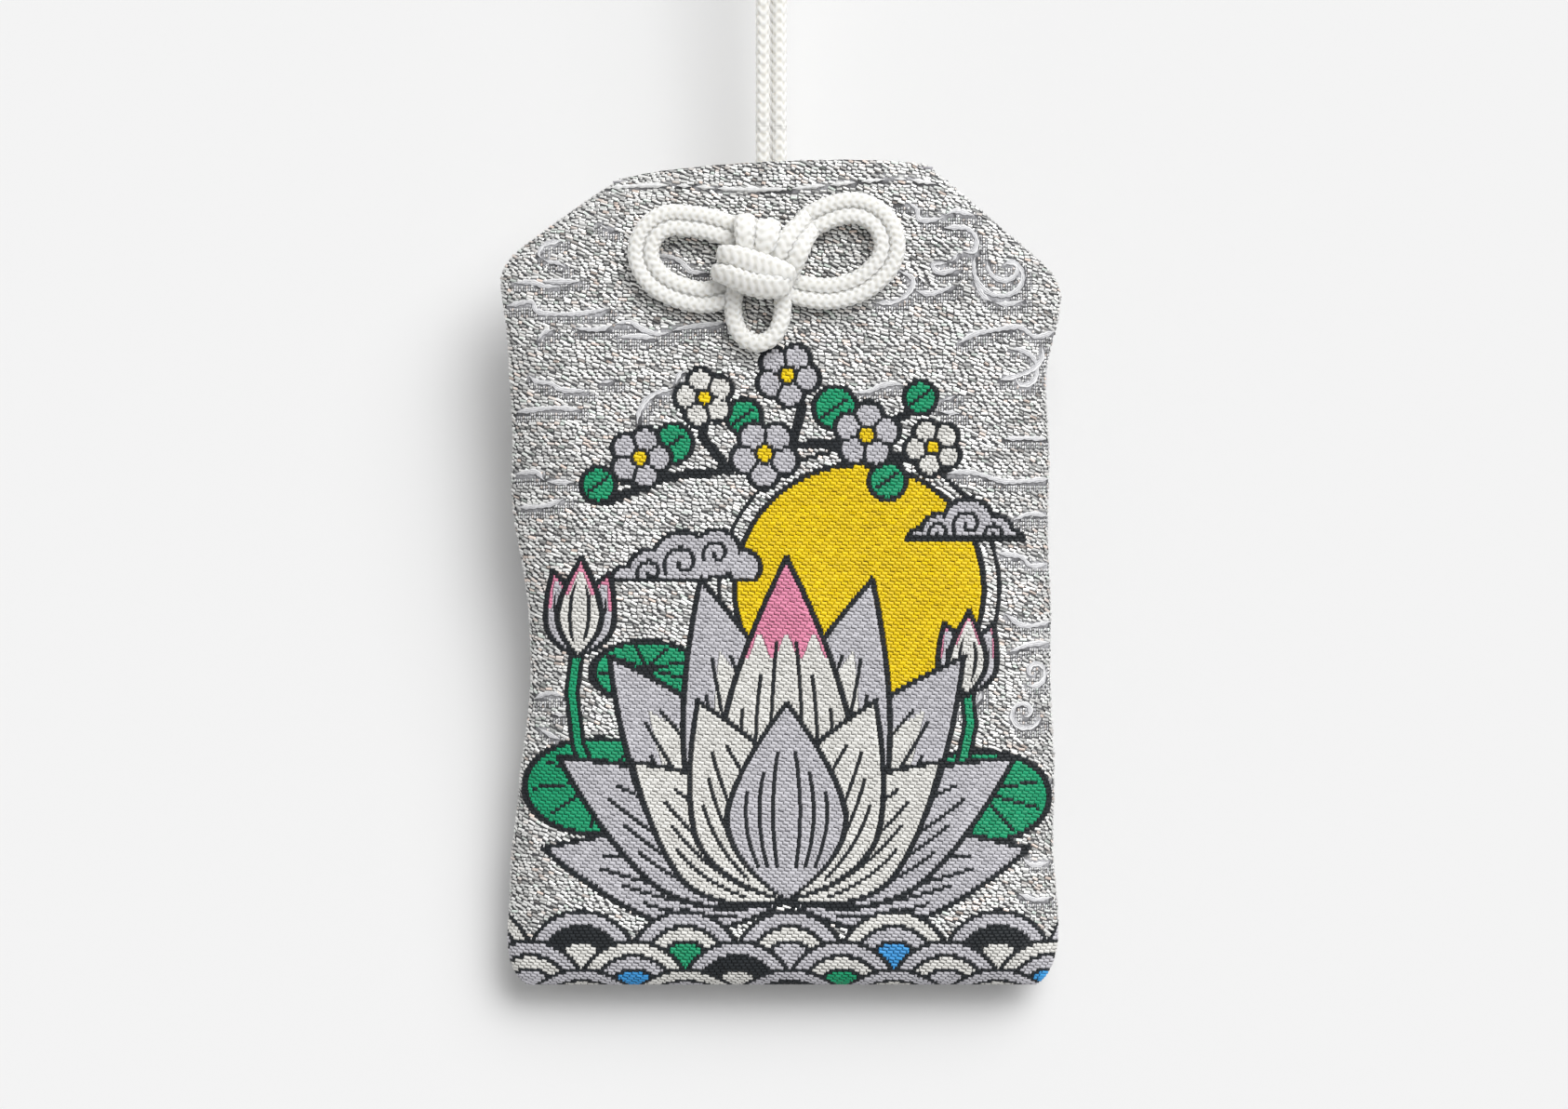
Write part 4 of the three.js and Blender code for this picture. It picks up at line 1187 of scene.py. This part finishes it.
LEFT_EAR = [
    (-3.9, 2.75), (-5.5, 3.2), (-7.4, 3.45), (-8.9, 3.5), (-10.4, 2.8), (-11.35, 1.3), (-11.35, -0.4),
    (-10.4, -2.0), (-8.9, -3.05), (-7.0, -3.7), (-5.5, -3.9), (-3.9, -3.5),
]
RIGHT_EAR = [
    (4.6, 3.35), (6.3, 4.2), (8.0, 4.65), (9.6, 4.55), (11.3, 3.5), (12.2, 1.5), (11.9, -0.3),
    (10.9, -1.6), (9.2, -2.85), (6.4, -3.55), (4.6, -3.4),
]
for name, offset, upper_root, lower_root in (
    (
        "outer", -EAR_STRAND,
        [(-1.4, 0.3, 2.2), (-2.7, 0.1, 3.05)], [(-2.8, 0.2, -3.7), (-2.0, 0.35, -2.8), (-1.2, 0.4, -1.8)],
    ),
    (
        "inner", EAR_STRAND,
        [(-1.2, 0.3, 0.9), (-2.5, 0.1, 1.5)], [(-2.6, 0.2, -2.3), (-1.6, 0.35, -1.6), (-0.8, 0.4, -0.8)],
    ),
):
    strand = smooth_route(in_knot(upper_root + beside(LEFT_EAR, offset) + lower_root), BRAID_RING)
    piece = braid(f"left_ear_{name}_cord", strand, white_braid)
    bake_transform(piece)
    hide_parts(f"left_ear_{name}_strand")

for name, offset, turn, lower_root in (
    (
        "outer", EAR_STRAND,
        [
            (0.95, -0.5, -0.9, 1.1), (1.2, -1.15, -0.3, 1.2), (1.5, -1.5, 0.25, 1.3),
            (2.15, -1.6, 1.25, 1.35), (3.0, -1.15, 2.5, 1.2), (3.75, -0.6, 3.35, 1.05),
        ],
        [(3.3, 0.2, -3.85), (2.2, 0.4, -3.0), (1.2, 0.4, -2.2)],
    ),
    (
        "inner", -EAR_STRAND,
        [
            (2.7, -0.3, -1.8, 1.1), (2.9, -1.0, -1.05, 1.25), (3.2, -1.4, -0.3, 1.35),
            (3.55, -1.5, 0.5, 1.35), (3.95, -1.2, 1.35, 1.2), (4.5, -0.6, 2.05, 1.05),
        ],
        [(3.4, 0.15, -2.4), (2.2, 0.35, -1.8), (1.2, 0.4, -1.0)],
    ),
):
    strand = smooth_route(in_knot(turn + beside(RIGHT_EAR, offset) + lower_root), BRAID_RING)
    root = np.array(in_knot(turn[-1:]))[0, :3]
    split = int(np.argmin(np.linalg.norm(strand[:, :3] - root, axis=1)))
    piece = braid(f"right_ear_{name}_cord", strand, white_braid, first=split)
    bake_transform(piece)
    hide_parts(f"right_ear_{name}_strand")
    wrap_name = "inner" if name == "outer" else "outer"
    piece = braid(f"knot_right_wrap_{wrap_name}_cord", strand, white_braid, last=split + 1)
    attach(piece, "pouch")
    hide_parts(f"knot_right_wrap_{wrap_name}")

KNOT_WRAPS = {
    "knot_top_wrap_left": [
        (-1.65, 0.2, 2.0, 1.25), (-1.66, 0.2, 2.7, 1.3), (-1.68, -0.1, 3.2, 1.35),
        (-1.68, -0.8, 3.45, 1.38), (-1.68, -1.5, 3.2, 1.38), (-1.68, -1.95, 2.5, 1.38),
        (-1.66, -2.0, 1.8, 1.35), (-1.5, -1.8, 1.1, 1.25), (-1.25, -1.3, 0.4, 1.15), (-0.9, -0.7, -0.3, 1.05),
    ],
    "knot_top_wrap_right": [
        (0.42, 0.2, 1.5, 1.6), (0.43, 0.2, 2.2, 1.7), (0.44, -0.1, 2.75, 1.75), (0.44, -0.8, 3.0, 1.78),
        (0.42, -1.5, 2.75, 1.78), (0.38, -1.95, 2.05, 1.72), (0.28, -2.05, 1.4, 1.6), (0.05, -1.8, 0.6, 1.4),
        (-0.2, -1.2, -0.1, 1.2), (-0.4, -0.7, -0.7, 1.05),
    ],
    "knot_lower_wrap_upper": [
        (-2.5, 0.1, 0.0, 1.05), (-3.3, -0.25, 0.15, 1.1), (-3.75, -1.1, 0.15, 1.15),
        (-3.5, -1.95, 0.12, 1.2), (-2.75, -2.45, -0.05, 1.4), (-1.5, -2.6, -0.5, 1.55),
        (-0.1, -2.65, -1.02, 1.62), (1.1, -2.6, -1.42, 1.62), (2.0, -2.2, -1.75, 1.5),
        (2.45, -1.4, -1.95, 1.3), (2.4, -0.4, -2.1, 1.0),
    ],
    "knot_lower_wrap_lower": [
        (-2.9, 0.1, -1.5, 1.05), (-3.8, -0.25, -1.5, 1.1), (-4.25, -1.1, -1.55, 1.15),
        (-4.0, -1.95, -1.68, 1.2), (-3.2, -2.45, -1.92, 1.42), (-2.2, -2.6, -2.35, 1.52),
        (-1.0, -2.65, -2.78, 1.6), (0.4, -2.65, -3.0, 1.65), (1.5, -2.35, -2.98, 1.55),
        (2.15, -1.5, -2.8, 1.3), (2.1, -0.5, -2.6, 1.0),
    ],
}
for name, points in KNOT_WRAPS.items():
    piece = braid(f"{name}_cord", smooth_route(in_knot(points), BRAID_RING), white_braid)
    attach(piece, "pouch")
    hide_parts(name)

LOOP_PRESS = 1.16
SMALL_LOOP = [
    (-2.2, -0.9, -2.3), (-2.55, -0.9, -3.1), (-2.75, -0.55, -4.05), (-2.8, -0.3, -5.2), (-2.5, -0.28, -6.7),
    (-1.7, -0.28, -7.85), (-0.4, -0.28, -8.3), (0.9, -0.28, -7.75), (1.65, -0.28, -6.5), (1.9, -0.3, -5.2),
    (1.9, -0.55, -4.05), (1.75, -0.85, -3.1), (1.5, -0.85, -2.4),
]
pressed_loop = in_knot([(*point, LOOP_PRESS) for point in SMALL_LOOP])
small_loop_cord = braid("small_loop_cord", smooth_route(pressed_loop, BRAID_RING), white_braid)
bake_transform(small_loop_cord)
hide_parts("bottom_loop")

# Wall, light and camera: a plain pale wall behind the hanging pouch, soft light from the upper right and
# a weaker light behind, and a camera square to the front at the distance of a studio close-up.

WALL_PLACE = (0, 0.0053, -0.088)
WALL_LEAN = 0.098
bpy.ops.object.select_all(action="DESELECT")
bpy.ops.mesh.primitive_plane_add(size=3, location=WALL_PLACE, rotation=(math.pi / 2 - WALL_LEAN, 0, 0))
wall = bpy.context.object
wall.name = "wall"
bpy.ops.object.transform_apply()
wall_finish, wall_shader = new_finish("matt_wall", 0.95, specular=0.1)
wall_shader.inputs["Base Color"].default_value = (0.84, 0.84, 0.84, 1)
wall_tree = wall_finish.node_tree
wall_side = new_node(wall_tree, "ShaderNodeNewGeometry")
wall_clear = new_node(wall_tree, "ShaderNodeBsdfTransparent")
wall_either = new_node(wall_tree, "ShaderNodeMixShader")
wall_output = wall_tree.nodes["Material Output"]
wire(
    wall_tree,
    (wall_side, "Backfacing", wall_either, "Fac"), (wall_shader, "BSDF", wall_either, 1),
    (wall_clear, "BSDF", wall_either, 2), (wall_either, "Shader", wall_output, "Surface"),
)
wall.data.materials.append(wall_finish)
wall.visible_shadow = False


def lamp(name, source, spread, strength):
    """Even light from far away, out of a round patch of sky that spreads over an angle."""
    light = bpy.data.lights.new(name, "SUN")
    light.angle = spread
    light.energy = strength
    x, y, z = source
    holder = put_in_scene(name, light)
    holder.rotation_euler = (math.acos(z / math.hypot(x, y, z)), 0, math.atan2(y, x) + math.pi / 2)


UPPER_RIGHT = (0.545, -1.0, 0.85)
BEHIND = (-0.3, 0.6, 0.29)
lamp("key_light", UPPER_RIGHT, 0.55, 0.95)
lamp("window_light", UPPER_RIGHT, 1.0, 1.92)
lamp("rear_light", BEHIND, 0.7, 1.2)

world = bpy.data.worlds.new("pale_studio")
bpy.context.scene.world = world
world.use_nodes = True
tree = world.node_tree
tree.nodes.clear()
path = new_node(tree, "ShaderNodeLightPath")
seen = new_node(tree, "ShaderNodeMath", operation="MAXIMUM")
seen_or_clear = new_node(tree, "ShaderNodeMath", operation="MAXIMUM")
ambient = new_node(tree, "ShaderNodeBackground", {"Color": (0.38, 0.38, 0.38, 1)})
backdrop = new_node(tree, "ShaderNodeBackground", {"Color": (0.9, 0.9, 0.9, 1)})
either = new_node(tree, "ShaderNodeMixShader")
output = new_node(tree, "ShaderNodeOutputWorld")
wire(
    tree,
    (path, "Is Camera Ray", seen, 0), (path, "Is Glossy Ray", seen, 1), (seen, 0, seen_or_clear, 0),
    (path, "Is Transmission Ray", seen_or_clear, 1), (seen_or_clear, 0, either, "Fac"),
    (ambient, 0, either, 1), (backdrop, 0, either, 2), (either, 0, output, "Surface"),
)

CAMERA_PLACE = (0.00126, -0.4241, -0.0879)
lens = bpy.data.cameras.new("camera")
lens.lens = 100
lens.sensor_width = 36
lens.clip_start = 0.01
camera = put_in_scene("camera", lens)
camera.location = CAMERA_PLACE
camera.rotation_euler = (math.pi / 2, 0, 0)
bpy.context.scene.camera = camera
bpy.context.scene.view_settings.view_transform = "Standard"
